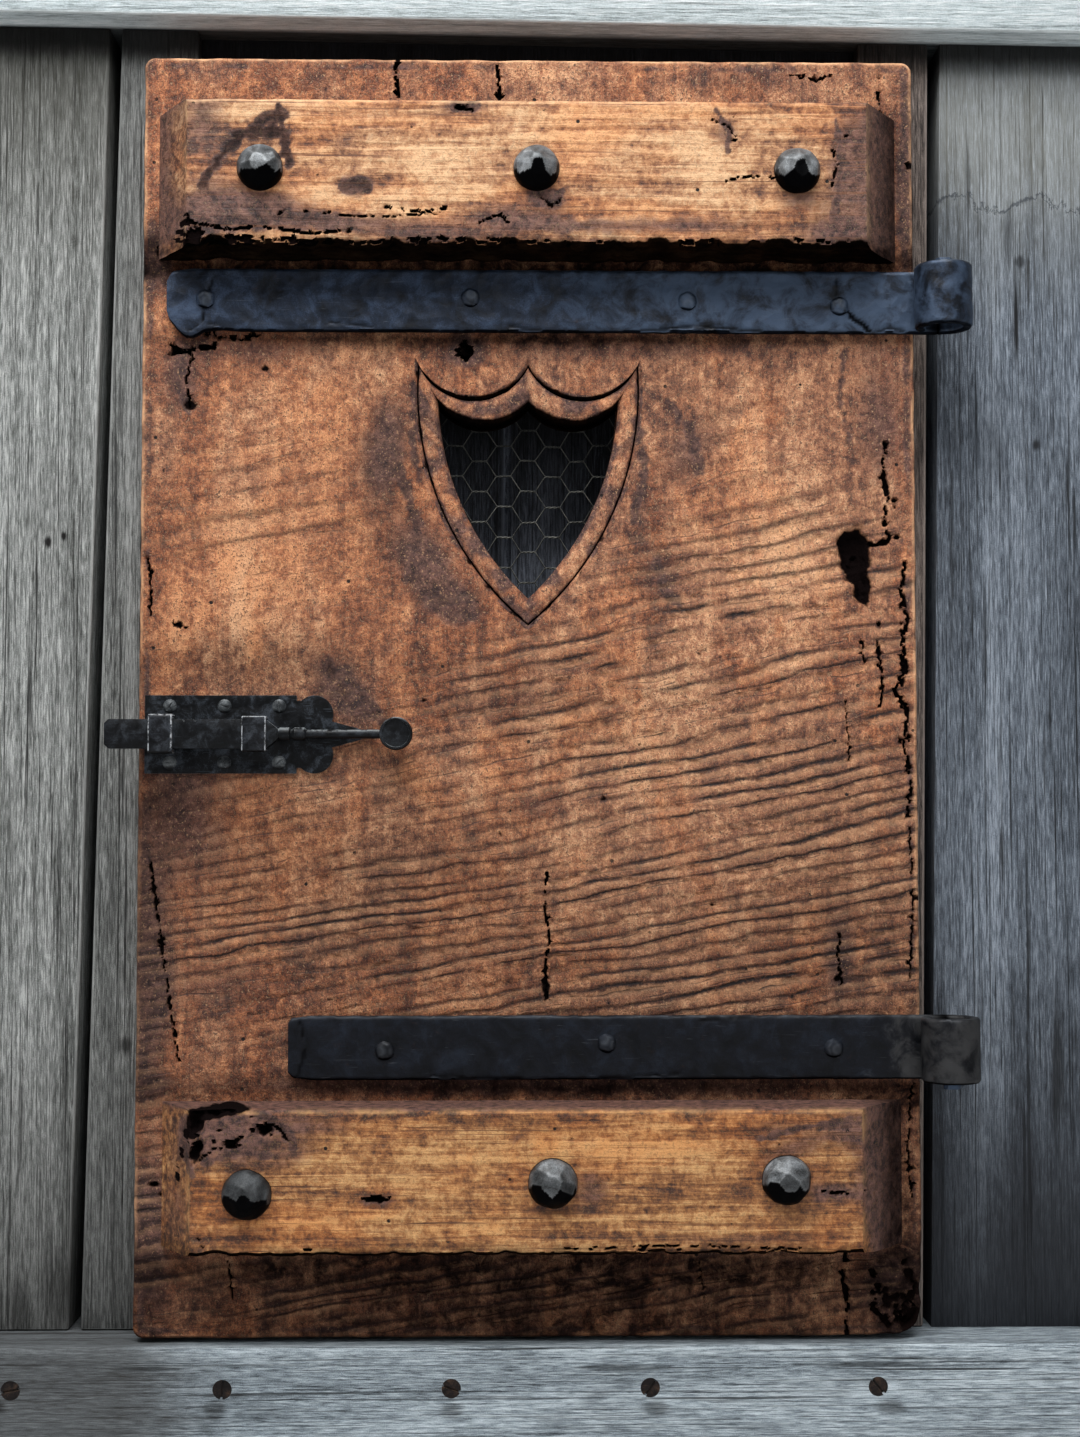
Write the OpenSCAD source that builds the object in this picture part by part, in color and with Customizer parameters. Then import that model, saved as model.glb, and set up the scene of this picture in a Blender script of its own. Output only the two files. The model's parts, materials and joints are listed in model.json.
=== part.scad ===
// Small plank door with a shield-shaped window, hung on two strap hinges in a
// weathered frame. X runs along the width, Z up, and the room side looks at -Y.
// The origin is on the middle of the frame, at the underside of the sill and
// in the plane of the uprights' front faces.

/* [Frame] */
// Depth of the posts from front to back
post_d = 60; // [50:1:90]
// Height of the sill rail
sill_h = 58; // [45:1:80]
// How far the sill stands in front of the posts
sill_reach = 40; // [34:1:60]
// Radius along the sill's front edges
sill_round = 4; // [1:0.5:8]
// Height of the head rail at its left end
head_h = 60; // [45:1:80]
// Open height over the leaf, at the head rail's left end
head_gap = 30.7; // [22:0.1:50]
// How much lower the head rail's underside lies at its right end
head_drop = 9; // [0:1:20]
// How far the head rail stands in front of the posts
head_reach = 23; // [15:1:40]
// Chamfer along the head rail's front edges
head_chamfer = 2; // [0.5:0.5:5]

/* [Posts and stops] */
// Width of the left post at the sill
left_post_w = 59; // [45:1:120]
// Width of the right post at the sill
right_post_w = 105; // [70:1:150]
// Width of the left stop that shows beside the leaf at the sill
left_strip_foot_w = 36.7; // [15:0.1:50]
// The same at the head rail
left_strip_top_w = 19.7; // [12:0.1:30]
// Width of the right stop that shows beside the leaf at the sill
right_strip_foot_w = 6; // [4:0.1:20]
// The same at the head rail
right_strip_top_w = 16.4; // [4:0.1:25]
// Open joint between the left post and the left stop
left_joint = 7.3; // [3:0.1:10]
// Open joint between the right post and the right stop at the sill
right_joint_foot = 5; // [3:0.1:8]
// Open joint between the right post and the right stop at the head rail
right_joint_top = 7.6; // [3:0.1:10]
// How far the side stops lap behind the leaf
stop_lap = 28; // [15:1:40]
// How far the head stop laps behind the leaf
head_lap = 34; // [15:1:50]
// How far the head stop's front is set back
head_stop_back = 15; // [5:1:25]
// Thickness of the backing boards
board_t = 18; // [12:1:20]
// Distance of the boards' joint from the middle of the leaf, to the left
board_joint_out = 13.5; // [0:0.5:60]
// Open width of the joint in the face of the boards
board_joint_w = 5; // [2:0.5:8]
// Width of the lap behind that joint
board_lap = 11; // [9:0.5:16]

/* [Leaf] */
// Width of the leaf
leaf_w = 471; // [400:1:600]
// Height of the leaf
leaf_h = 774; // [650:1:1000]
// Thickness of the leaf
leaf_t = 30; // [24:1:36]
// Gap between the leaf and the sill
leaf_gap = 2.3; // [1:0.1:5]
// Gap between the leaf's back and the stops
rebate_gap = 0.5; // [0.2:0.1:2]
// Radius of three of the leaf's corners
leaf_corner_r = 7; // [3:0.5:12]
// Radius of the decayed corner, below the lower hinge
rotten_corner_r = 15; // [8:0.5:25]
// Chamfer along the leaf's front edges
leaf_arris = 2.5; // [1:0.5:5]

/* [Shield window] */
// Width of the opening between its horns
shield_w = 110; // [80:1:140]
// Radius of the opening's bowed sides
shield_side_r = 174; // [130:1:220]
// Height of the opening from its tip to its horns
shield_h = 120; // [100:1:150]
// Depth of the two scallops in the opening's top
scallop_d = 13; // [6:0.5:18]
// Distance of the opening's tip below the leaf's top
shield_drop = 332; // [300:1:380]
// Distance of the window's middle from the leaf's middle, to the left
shield_shift = 0.7; // [0:0.1:20]
// Width of the rounded moulding round the opening
mould_w = 12; // [8:0.5:16]
// Height of that moulding above its grooves
mould_h = 4.5; // [2:0.25:7]
// Width of the outer slope of the groove
groove_w = 4.5; // [2:0.25:8]
// How deep the crown of the moulding lies below the leaf's face
crown_sink = 0.6; // [0.2:0.1:2]

/* [Wire mesh] */
// Height of a mesh cell, from twist to twist
cell_h = 19; // [16:0.5:25]
// Distance between columns of cells
cell_pitch = 15; // [13:0.5:20]
// Length of a twist
twist_l = 9; // [6:0.5:10]
// Thickness of the wire
wire_d = 1.2; // [0.8:0.1:2]
// Thickness of the staples
staple_d = 1.2; // [1:0.1:1.6]
// Distance between a staple's legs
staple_w = 7; // [5:0.5:9]
// Length of a staple's legs in the wood
staple_l = 9; // [6:0.5:14]

/* [Battens] */
// Thickness of the battens
batten_t = 35; // [25:1:45]
// Height of the upper batten
top_batten_h = 89.5; // [70:0.5:110]
// Distance from the leaf's top to the upper batten's top
top_batten_drop = 37; // [30:0.5:50]
// Distance from the leaf's left edge to the upper batten
top_batten_left = 10; // [5:0.5:30]
// Distance from the upper batten to the leaf's right edge
top_batten_right = 11.5; // [8:0.5:30]
// Height of the lower batten
low_batten_h = 85.5; // [70:0.5:100]
// Distance from the leaf's bottom to the lower batten's underside
low_batten_rise = 55; // [45:0.5:62]
// Distance from the leaf's left edge to the lower batten
low_batten_left = 17; // [5:0.5:30]
// Distance from the lower batten to the leaf's right edge
low_batten_right = 12.5; // [8:0.5:30]
// Bevel at the left end of both battens
left_bevel = 21.5; // [5:0.5:30]
// Bevel at the right end of the upper batten
top_right_bevel = 23; // [5:0.5:30]
// Bevel at the right end of the lower batten
low_right_bevel = 29; // [5:0.5:35]
// Chamfer along the battens' long edges
batten_chamfer = 3; // [1:0.5:6]
// Depth of the torn places along the upper batten's lower edge
torn_d = 12; // [4:0.5:20]
// Depth of the rotten hollow in the lower batten
hollow_d = 13; // [6:0.5:18]

/* [Studs] */
// Radius of the upper studs' heads
top_stud_r = 14.3; // [10:0.1:17]
// Radius of the lower studs' heads
low_stud_r = 15; // [10:0.1:18]
// Height of the studs' heads
stud_h = 12; // [8:0.5:15]
// Radius of the studs' shanks
stud_shank_r = 4; // [3:0.1:6]
// Wood left behind the end of a shank
stud_cover = 6; // [3:0.5:10]

/* [Strap hinges] */
// Height of the strap irons
strap_w = 38; // [30:0.5:46]
// Thickness of the strap irons
strap_t = 6; // [4:0.25:8]
// Distance from the leaf's top to the middle of the upper strap
top_strap_drop = 151.5; // [147:0.5:165]
// Distance from the leaf's bottom to the middle of the lower strap
low_strap_rise = 172; // [162:0.5:190]
// Distance from the leaf's left edge to the upper strap
top_strap_inset = 16; // [5:0.5:80]
// Distance from the leaf's left edge to the lower strap
low_strap_inset = 92; // [20:0.5:140]
// Outer radius of the rolled eyes
eye_r = 17.5; // [15:0.25:20]
// Distance of the hinge axis beyond the leaf's edge
hinge_out = 14; // [12:0.5:18]
// Radius of the nails' heads
nail_r = 6; // [4:0.1:8]
// Height of the nails' heads
nail_h = 2.6; // [1.5:0.1:4]
// Radius of the nails' shanks
nail_shank_r = 2.3; // [1.5:0.1:3]
// Length of the nails in the leaf
nail_l = 20; // [10:0.5:22]
// How far the pins stay short of the eyes' far ends
pin_recess = 7; // [2:0.5:12]
// Running clearance between pin and eye, all round
pin_play = 0.08; // [0.04:0.01:0.1]
// Thickness of the pintles' flat shanks
foot_h = 4; // [3:0.5:12]
// Width of the pintles' flat shanks
shank_w = 10; // [7:0.5:12]
// Wood between a shank and the post's edge
shank_cover = 2; // [1:0.1:10]
// Length of a shank in the post
shank_l = 40; // [25:1:50]

/* [Slide bolt] */
// Height of the bolt plate
plate_h = 47; // [44:0.5:54]
// Length of the plate's straight part
plate_l = 91; // [84:0.5:100]
// Thickness of the plate
plate_t = 2; // [1:0.25:4]
// Distance from the leaf's edge to the plate
plate_inset = 4.6; // [2:0.1:10]
// Distance from the leaf's top to the bolt's centre line
bolt_drop = 415; // [390:1:440]
// Height of the sliding bar
bar_h = 17.5; // [12:0.5:19]
// Thickness of the sliding bar
bar_t = 9; // [6:0.5:10]
// How far the shot bar reaches beyond the leaf's edge
bar_reach = 18; // [8:0.5:22]
// Length of the flat bar
bar_l = 96; // [92:0.5:102]
// Radius of the turned collars
collar_r = 4; // [3.4:0.1:5]
// Radius of the rod behind them
rod_r = 2.7; // [2:0.1:3.2]
// Distance from the bar's shoulder to the knob's centre
knob_out = 78; // [70:0.5:90]
// Radius of the knob
knob_r = 9.9; // [8:0.1:12]
// Clearance round the sliding bar
bar_play = 0.15; // [0.1:0.05:0.3]
// Wall of the left guide
left_guide_wall = 2.9; // [2:0.1:3.5]
// Wall of the right guide
right_guide_wall = 1.7; // [1.2:0.1:3]
// Width of the guides
guide_w = 14.6; // [10:0.1:16]
// Radius of the plate's screw heads
plate_screw_r = 4.2; // [3:0.1:5]

/* [Sill screws] */
// Radius of the screw heads
sill_screw_r = 5.7; // [4:0.1:7]
// Length of the screws
sill_screw_l = 45; // [30:1:60]

/* [Hidden] */
$fn = 48;

// Overrun of every cut past the face it opens
over = 1;
// Clearance round a driven shank, all round
fit = 0.05;
// Clearance between boards that lie side by side
board_play = 0.3;

// Leaf, in the middle of what lies to its left and right at the sill
left_margin = left_post_w + left_joint + left_strip_foot_w;
right_margin = right_post_w + right_joint_foot + right_strip_foot_w;
frame_w = left_margin + leaf_w + right_margin;
half_w = frame_w / 2;
leaf_left = left_margin - half_w;
leaf_right = leaf_left + leaf_w;
leaf_mid = leaf_left + leaf_w / 2;
leaf_bottom = sill_h + leaf_gap;
leaf_top = leaf_bottom + leaf_h;
leaf_back = -rebate_gap;
leaf_front = leaf_back - leaf_t;

// Frame round the leaf
frame_h = leaf_top + head_gap + head_h;
function head_z(x) = leaf_top + head_gap - head_drop * (x + half_w) / frame_w;
left_post_foot = left_post_w - half_w;
left_post_top = leaf_left - left_strip_top_w - left_joint;
right_post_foot = half_w - right_post_w;
right_post_top = leaf_right + right_strip_top_w + right_joint_top;
stop_d = post_d - board_t - fit * 2;
board_joint_x = leaf_mid - board_joint_out;
left_stop_in = leaf_left + stop_lap;
right_stop_in = leaf_right - stop_lap;

// Shield window, measured from the tip of its opening
shield_x = leaf_mid - shield_shift;
shield_z = leaf_top - shield_drop;
side_centre_x = shield_side_r - shield_w / 2;
side_centre_z = sqrt(pow(shield_side_r, 2) - pow(side_centre_x, 2));
// Growth of the horns' height and of the scallops' depth per growth of the outline
horn_share = 1.8;
scallop_share = 0.65;
side_steps = 16;
scallop_steps = 9;
mould_steps = 6;

// Battens
top_batten_z = leaf_top - top_batten_drop - top_batten_h;
low_batten_z = leaf_bottom + low_batten_rise;
batten_front = leaf_front - batten_t;
top_batten_l = leaf_w - top_batten_left - top_batten_right;
top_batten_x = leaf_left + top_batten_left + top_batten_l / 2;
low_batten_l = leaf_w - low_batten_left - low_batten_right;
low_batten_x = leaf_left + low_batten_left + low_batten_l / 2;
stud_l = batten_t + leaf_t - stud_cover;
// Places of the studs along each batten and across it
top_stud_shares = [[-0.355, 0.515], [0.011, 0.525], [0.356, 0.515]];
low_stud_shares = [[-0.376, 0.43], [0.025, 0.49], [0.333, 0.515]];

// Strap hinges
hinge_x = leaf_right + hinge_out;
hinge_y = leaf_front - eye_r;
crank = right_strip_top_w + right_joint_top + shank_w / 2 + shank_cover - hinge_out;
top_strap_l = leaf_w - top_strap_inset;
low_strap_l = leaf_w - low_strap_inset;
bore_r = eye_r - strap_t;
pin_r = bore_r - pin_play;
strap_front = leaf_front - strap_t;
top_strap_z = leaf_top - top_strap_drop - strap_w / 2;
low_strap_z = leaf_bottom + low_strap_rise - strap_w / 2;
upper_foot_z = top_strap_z + strap_w + pin_play;
lower_foot_z = low_strap_z - foot_h;
// Places of the nails along each strap, from the hinge end, and across it
top_nail_shares = [[0.104, 0.43], [0.307, 0.5], [0.597, 0.54], [0.949, 0.5]];
low_nail_shares = [[0.142, 0.49], [0.5, 0.57], [0.849, 0.46]];
// Outline of the upper strap's ragged end: along from the end and across, in strap heights
ragged_share = [
    [0.42, 1], [0.1, 0.97], [0, 0.82], [0.03, 0.45], [0.02, 0.2],
    [0.16, 0.02], [0.3, -0.12], [0.46, -0.1], [0.6, 0], [0.9, 0.02]
];
// The same for the lower strap's squarer end
square_share = [[0.3, 1], [0.05, 0.98], [0, 0.9], [0.02, 0.1], [0.08, 0.02], [0.4, 0]];

// Slide bolt
bolt_z = leaf_top - bolt_drop;
plate_x = leaf_left + plate_inset;
plate_front = leaf_front - plate_t;
bar_y = plate_front - max(collar_r, bar_t / 2) - bar_play;
bar_front = bar_y - bar_t / 2;
bar_tip = leaf_left - bar_reach;
shoulder_x = bar_tip + bar_l;
// Places of the guides and the screw columns along the plate's straight part
left_guide_share = 0.04;
right_guide_share = 0.65;
plate_screw_shares = [0.165, 0.525, 0.885];
plate_screw_rise = plate_h * 0.36;
plate_screw_h = plate_screw_r * 0.45;
plate_screw_shank_r = plate_screw_r * 0.42;
plate_screw_l = leaf_t * 0.6;

// Wire mesh
mesh_front = leaf_back;
mesh_cols = ceil((shield_w / 2 + twist_l) / cell_pitch);
mesh_rows = ceil((shield_h / 2 + cell_h * 0.4) / cell_h);
mesh_z = shield_z + shield_h * 0.5;
mesh_half_w = mesh_cols * cell_pitch + twist_l;
mesh_half_h = mesh_rows * cell_h + cell_h * 0.35;

// Sill screws: places along the sill from its middle, as shares of its half length
sill_screw_shares = [-0.901, -0.542, -0.152, 0.188, 0.579];
sill_screw_rise_share = 0.58;
sill_screw_shank_r = sill_screw_r * 0.42;

// A flat shape drawn in X and Z, thickened towards the room from the plane y
module slab(y, t) {
    translate([0, y, 0]) rotate([90, 0, 0]) linear_extrude(t) children();
}

// A profile drawn in Y and Z, run along X from x
module along_x(x, l) {
    translate([x, 0, 0]) rotate([90, 0, 90]) linear_extrude(l) children();
}

// A turned shape drawn along Z, laid with its top towards the room
module facing(x, y, z) {
    translate([x, y, z]) rotate([90, 0, 0]) children();
}

// What a rounded corner takes away from a square one
module corner_nib(r) {
    difference() {
        translate([-over, -over]) square(r + over);
        translate([r, r]) circle(r);
    }
}

// A low dome of base radius r and height h
module dome(r, h) {
    ball = (r * r + h * h) / (2 * h);
    rotate_extrude() intersection() {
        translate([0, h - ball]) circle(ball);
        square([r, h]);
    }
}

module head_rail() {
    color("gainsboro") difference() {
        slab(post_d, post_d + head_reach) polygon([
            [-half_w, head_z(-half_w)], [half_w, head_z(half_w)],
            [half_w, frame_h], [-half_w, frame_h]
        ]);
        along_x(-half_w - over, frame_w + over * 2) translate([-head_reach, frame_h])
            rotate(45) square(head_chamfer * sqrt(2), center = true);
    }
}

module sill_rail() {
    color("lightgray") difference() {
        along_x(-half_w, frame_w) difference() {
            translate([-sill_reach, 0]) square([sill_reach + post_d, sill_h]);
            translate([-sill_reach, 0]) corner_nib(sill_round);
            translate([-sill_reach, sill_h]) mirror([0, 1]) corner_nib(sill_round);
        }
        sill_screw_set(fit, over);
    }
}

// The sill's slotted screws, or the holes for them when grown by gap
module sill_screw_set(gap, proud) {
    head_t = sill_screw_r - sill_screw_shank_r;
    for (share = sill_screw_shares)
        facing(half_w * share, -sill_reach, sill_h * sill_screw_rise_share) {
            translate([0, 0, -head_t - gap])
                cylinder(h = head_t + gap, r1 = sill_screw_shank_r, r2 = sill_screw_r + gap);
            if (proud > 0) cylinder(h = proud, r = sill_screw_r + gap);
            translate([0, 0, -sill_screw_l - gap])
                cylinder(h = sill_screw_l, r = sill_screw_shank_r + gap);
        }
}

module sill_screws() {
    slot_w = sill_screw_r / 4;
    slot_d = sill_screw_r / 5;
    color("slategray") difference() {
        sill_screw_set(0, 0);
        for (i = [0 : len(sill_screw_shares) - 1])
            facing(half_w * sill_screw_shares[i], -sill_reach, sill_h * sill_screw_rise_share)
                rotate(i * 75 + 10) translate([0, 0, (over - slot_d) / 2])
                    cube([sill_screw_r * 2 + over, slot_w, slot_d + over], center = true);
    }
}

module left_post() {
    color("darkgray") slab(post_d, post_d) polygon([
        [-half_w, sill_h], [left_post_foot, sill_h],
        [left_post_top, head_z(left_post_top)], [-half_w, head_z(-half_w)]
    ]);
}

module right_post() {
    color("lightgray") difference() {
        slab(post_d, post_d) polygon([
            [right_post_foot, sill_h], [half_w, sill_h],
            [half_w, head_z(half_w)], [right_post_top, head_z(right_post_top)]
        ]);
        for (z = [upper_foot_z, lower_foot_z])
            translate([hinge_x + crank - shank_w / 2 - fit, -over, z - fit])
                cube([shank_w + fit * 2, shank_l + fit + over, foot_h + fit * 2]);
    }
}

module left_stop() {
    color("dimgray") slab(stop_d, stop_d) polygon([
        [left_post_foot + left_joint, sill_h], [left_stop_in, sill_h],
        [left_stop_in, head_z(left_stop_in)],
        [left_post_top + left_joint, head_z(left_post_top + left_joint)]
    ]);
}

module right_stop() {
    right_top = right_post_top - right_joint_top;
    color("dimgray") slab(stop_d, stop_d) polygon([
        [right_stop_in, sill_h], [right_post_foot - right_joint_foot, sill_h],
        [right_top, head_z(right_top)], [right_stop_in, head_z(right_stop_in)]
    ]);
}

module head_stop() {
    color("dimgray") slab(stop_d, stop_d - head_stop_back) polygon([
        [left_stop_in, leaf_top - head_lap], [right_stop_in, leaf_top - head_lap],
        [right_stop_in, head_z(right_stop_in)], [left_stop_in, head_z(left_stop_in)]
    ]);
}

// Both boards as one outline between the posts, seen from the room
module board_field() {
    left_foot = left_post_foot + board_play;
    left_top = left_post_top + board_play;
    right_foot = right_post_foot - board_play;
    right_top = right_post_top - board_play;
    slab(post_d, board_t) polygon([
        [left_foot, sill_h], [right_foot, sill_h],
        [right_top, head_z(right_top)], [left_top, head_z(left_top)]
    ]);
}

module left_backing_board() {
    back = post_d;
    front = post_d - board_t;
    middle = post_d - board_t / 2;
    edge = board_joint_x - board_joint_w / 2;
    color("gray") intersection() {
        board_field();
        linear_extrude(frame_h) polygon([
            [-half_w, front], [edge, front], [edge, middle],
            [edge + board_lap, middle], [edge + board_lap, back], [-half_w, back]
        ]);
    }
}

module right_backing_board() {
    back = post_d;
    front = post_d - board_t;
    middle = post_d - board_t / 2 - board_play;
    edge = board_joint_x + board_joint_w / 2;
    lap_edge = board_joint_x - board_joint_w / 2 + board_lap + board_play;
    color("gray") intersection() {
        board_field();
        linear_extrude(frame_h) polygon([
            [half_w, front], [edge, front], [edge, middle],
            [lap_edge, middle], [lap_edge, back], [half_w, back]
        ]);
    }
}

// Cranked flat shank of a pintle in plan, from the hinge axis into the post
module pintle_plan() {
    half = shank_w / 2;
    run = -hinge_y - shank_w;
    translate([hinge_x, hinge_y]) polygon([
        [-half * 0.6, -half], [-half, -half * 0.5], [-half, 0], [crank - half, run],
        [crank - half, shank_l - hinge_y], [crank + half, shank_l - hinge_y],
        [crank + half, run - half / 2], [half, 0], [half, -half * 0.5], [half * 0.6, -half]
    ]);
}

// Pin of a pintle with the neck that is riveted into its shank, from z upwards
module pintle_pin(z, h, neck_z) {
    translate([hinge_x, hinge_y, z]) cylinder(h = h, r = pin_r);
    translate([hinge_x, hinge_y, neck_z - foot_h]) cylinder(h = foot_h * 2, r = shank_w * 0.4);
}

module upper_pintle() {
    color("darkslategray") union() {
        translate([0, 0, upper_foot_z]) linear_extrude(foot_h) pintle_plan();
        pintle_pin(top_strap_z + pin_recess, strap_w - pin_recess, upper_foot_z - foot_h / 2);
    }
}

module lower_pintle() {
    color("darkslategray") union() {
        translate([0, 0, lower_foot_z]) linear_extrude(foot_h) pintle_plan();
        pintle_pin(low_strap_z + pin_play, strap_w - pin_recess - pin_play, low_strap_z + foot_h / 2);
    }
}

// Right half of the shield outline grown by g, from the tip up and back along the top
function shield_half(g) =
    let (
        r = shield_side_r + g,
        top = shield_h + g * horn_share,
        deep = scallop_d + g * scallop_share,
        a0 = -acos(side_centre_x / r),
        a1 = asin((top - side_centre_z) / r),
        horn_x = r * cos(a1) - side_centre_x,
        chord = horn_x / 2,
        bow = (chord * chord + deep * deep) / (2 * deep),
        t1 = asin(chord / bow)
    )
    concat(
        [for (i = [0 : side_steps]) let (a = a0 + (a1 - a0) * i / side_steps)
            [r * cos(a) - side_centre_x, side_centre_z + r * sin(a)]],
        [for (i = [1 : scallop_steps]) let (t = t1 - 2 * t1 * i / scallop_steps)
            [chord + bow * sin(t), top - deep + bow - bow * cos(t)]]
    );

// The whole outline: the right half and its mirror image
function shield_points(g) =
    let (half = shield_half(g), last = len(half) - 1)
    concat(half, [for (i = [last - 1 : -1 : 1]) [-half[i][0], half[i][1]]]);

// Cross section of what the carver takes away: growth of the outline and depth
function carving_section() = concat(
    [[-over, -over], [-over, crown_sink + mould_h]],
    [for (i = [0 : mould_steps]) let (t = 180 * i / mould_steps)
        [mould_w * (1 - cos(t)) / 2, crown_sink + mould_h * (1 - sin(t))]],
    [[mould_w + groove_w, 0], [mould_w + groove_w, -over]]
);

// The ring of wood that is carved away round the opening
module shield_carving() {
    section = carving_section();
    rows = len(section);
    cols = len(shield_points(0));
    points = [for (s = section) for (p = shield_points(s[0]))
        [shield_x + p[0], leaf_front + s[1], shield_z + p[1]]];
    faces = [for (i = [0 : rows - 1]) for (j = [0 : cols - 1])
        let (
            a = i * cols + j,
            b = i * cols + (j + 1) % cols,
            c = ((i + 1) % rows) * cols + (j + 1) % cols,
            d = ((i + 1) % rows) * cols + j
        ) each [[a, c, b], [a, d, c]]];
    polyhedron(points, faces);
}

// Outline of the leaf, with its worn corners
module leaf_outline() {
    translate([leaf_left, leaf_bottom]) difference() {
        square([leaf_w, leaf_h]);
        corner_nib(leaf_corner_r);
        translate([0, leaf_h]) mirror([0, 1]) corner_nib(leaf_corner_r);
        translate([leaf_w, leaf_h]) mirror([1, 0]) mirror([0, 1]) corner_nib(leaf_corner_r);
        translate([leaf_w, 0]) mirror([1, 0]) corner_nib(rotten_corner_r);
    }
}

// A split in the leaf: a thin wedge from (x, z) to its point, d deep from the front
module leaf_split(x, z, w, dx, dz, d) {
    slab(leaf_front + d, d + over)
        polygon([[x - w / 2, z], [x + w / 2, z], [x + dx, z + dz]]);
}

// The drying splits: place, length and slant as shares of the leaf, width in arrises
split_shares = [
    [0.329, 1.01, -0.037, 0.002, 1.1], [0.461, 1.01, -0.038, 0.001, 1.0],
    [0.524, 0.37, -0.10, 0.003, 0.5], [0.983, 0.70, -0.20, -0.03, 1.3],
    [0.893, 0.31, -0.035, 0.006, 0.8], [0.91, 0.066, -0.06, -0.004, 0.7]
];

module leaf_splits() {
    for (s = split_shares)
        leaf_split(leaf_left + leaf_w * s[0], leaf_bottom + leaf_h * s[1], leaf_arris * s[4],
            leaf_w * s[3], leaf_h * s[2], leaf_t / 3);
}

// Knot hole near the hinge side: places and radii as shares of the leaf's width
knot_shares = [[0.905, 0.61, 0.017], [0.912, 0.595, 0.014], [0.917, 0.582, 0.01]];

module leaf_knot() {
    for (k = knot_shares)
        facing(leaf_left + leaf_w * k[0], leaf_front + leaf_t / 3, leaf_bottom + leaf_h * k[1])
            cylinder(h = leaf_t / 3 + over, r1 = leaf_w * k[2] * 0.7, r2 = leaf_w * k[2]);
}

module door_leaf() {
    color("peru") difference() {
        intersection() {
            slab(leaf_back, leaf_t) leaf_outline();
            linear_extrude(leaf_top + over) polygon([
                [leaf_left, leaf_back], [leaf_left, leaf_front + leaf_arris],
                [leaf_left + leaf_arris, leaf_front], [leaf_right - leaf_arris, leaf_front],
                [leaf_right, leaf_front + leaf_arris], [leaf_right, leaf_back]
            ]);
            along_x(leaf_left - over, leaf_w + over * 2) polygon([
                [leaf_back, leaf_bottom], [leaf_front + leaf_arris, leaf_bottom],
                [leaf_front, leaf_bottom + leaf_arris], [leaf_front, leaf_top - leaf_arris],
                [leaf_front + leaf_arris, leaf_top], [leaf_back, leaf_top]
            ]);
        }
        slab(leaf_back + over, leaf_t + over * 2)
            translate([shield_x, shield_z]) polygon(shield_points(0));
        shield_carving();
        leaf_splits();
        leaf_knot();
        stud_shanks(fit);
        nail_shanks(top_strap_z, top_strap_l, top_nail_shares, fit);
        nail_shanks(low_strap_z, low_strap_l, low_nail_shares, fit);
        plate_screw_shanks(fit);
        staple_legs(fit);
    }
}

// A batten lying on the leaf: plan with bevelled ends, long edges chamfered
module batten(x, z, l, h, right_bevel) {
    cut = batten_chamfer;
    left = x - l / 2;
    right = x + l / 2;
    intersection() {
        translate([0, 0, z]) linear_extrude(h) polygon([
            [left, leaf_front], [left + left_bevel, batten_front],
            [right - right_bevel, batten_front], [right, leaf_front]
        ]);
        along_x(left - over, l + over * 2) polygon([
            [leaf_front, z], [batten_front + cut, z], [batten_front, z + cut],
            [batten_front, z + h - cut], [batten_front + cut, z + h], [leaf_front, z + h]
        ]);
    }
}

// Torn places of the upper batten's lower edge: place along it, half length and height, as shares
torn_shares = [
    [0.075, 0.022, 0.05], [0.14, 0.03, 0.035], [0.225, 0.026, 0.06], [0.31, 0.035, 0.04],
    [0.43, 0.03, 0.05], [0.56, 0.04, 0.035], [0.68, 0.024, 0.045], [0.8, 0.03, 0.03]
];

module torn_edge() {
    left = top_batten_x - top_batten_l / 2;
    for (s = torn_shares)
        slab(batten_front + torn_d, torn_d + over)
            translate([left + top_batten_l * s[0], top_batten_z]) polygon([
                [-top_batten_l * s[1], -over], [-top_batten_l * s[1] * 0.3, top_batten_h * s[2]],
                [top_batten_l * s[1] * 0.4, top_batten_h * s[2] * 0.7], [top_batten_l * s[1], -over]
            ]);
}

module upper_batten() {
    color("sandybrown") difference() {
        batten(top_batten_x, top_batten_z, top_batten_l, top_batten_h, top_right_bevel);
        torn_edge();
        stud_shanks(fit);
    }
}

// Rotten hollow of the lower batten: place along and across, radius and depth, as shares
hollow_shares = [
    [0.082, 0.89, 0.031, 0.8], [0.112, 0.79, 0.037, 1], [0.15, 0.88, 0.029, 0.7], [0.18, 0.95, 0.02, 0.5]
];

module lower_batten() {
    left = low_batten_x - low_batten_l / 2;
    clip = batten_chamfer * 2;
    color("burlywood") difference() {
        batten(low_batten_x, low_batten_z, low_batten_l, low_batten_h, low_right_bevel);
        for (s = hollow_shares)
            facing(left + low_batten_l * s[0], batten_front, low_batten_z + low_batten_h * s[1])
                translate([0, 0, -hollow_d * s[3]])
                    cylinder(h = hollow_d * s[3] + over, r1 = low_batten_l * s[2] * 0.6, r2 = low_batten_l * s[2]);
        slab(leaf_front + over, batten_t + over * 2) translate([left, low_batten_z])
            polygon([[-over, -over], [clip * 6, -over], [-over, clip]]);
        stud_shanks(fit);
    }
}

// Shanks of the six studs, or the holes for them when grown by gap
module stud_shanks(gap) {
    for (i = [0 : 2]) {
        stud_shank(top_stud_place(i), gap);
        stud_shank(low_stud_place(i), gap);
    }
}

module stud_shank(place, gap) {
    facing(place[0], batten_front, place[1]) translate([0, 0, -stud_l - gap])
        cylinder(h = stud_l + gap * 2, r = stud_shank_r + gap);
}

function top_stud_place(i) = [
    top_batten_x + top_batten_l * top_stud_shares[i][0],
    top_batten_z + top_batten_h * top_stud_shares[i][1]
];

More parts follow.
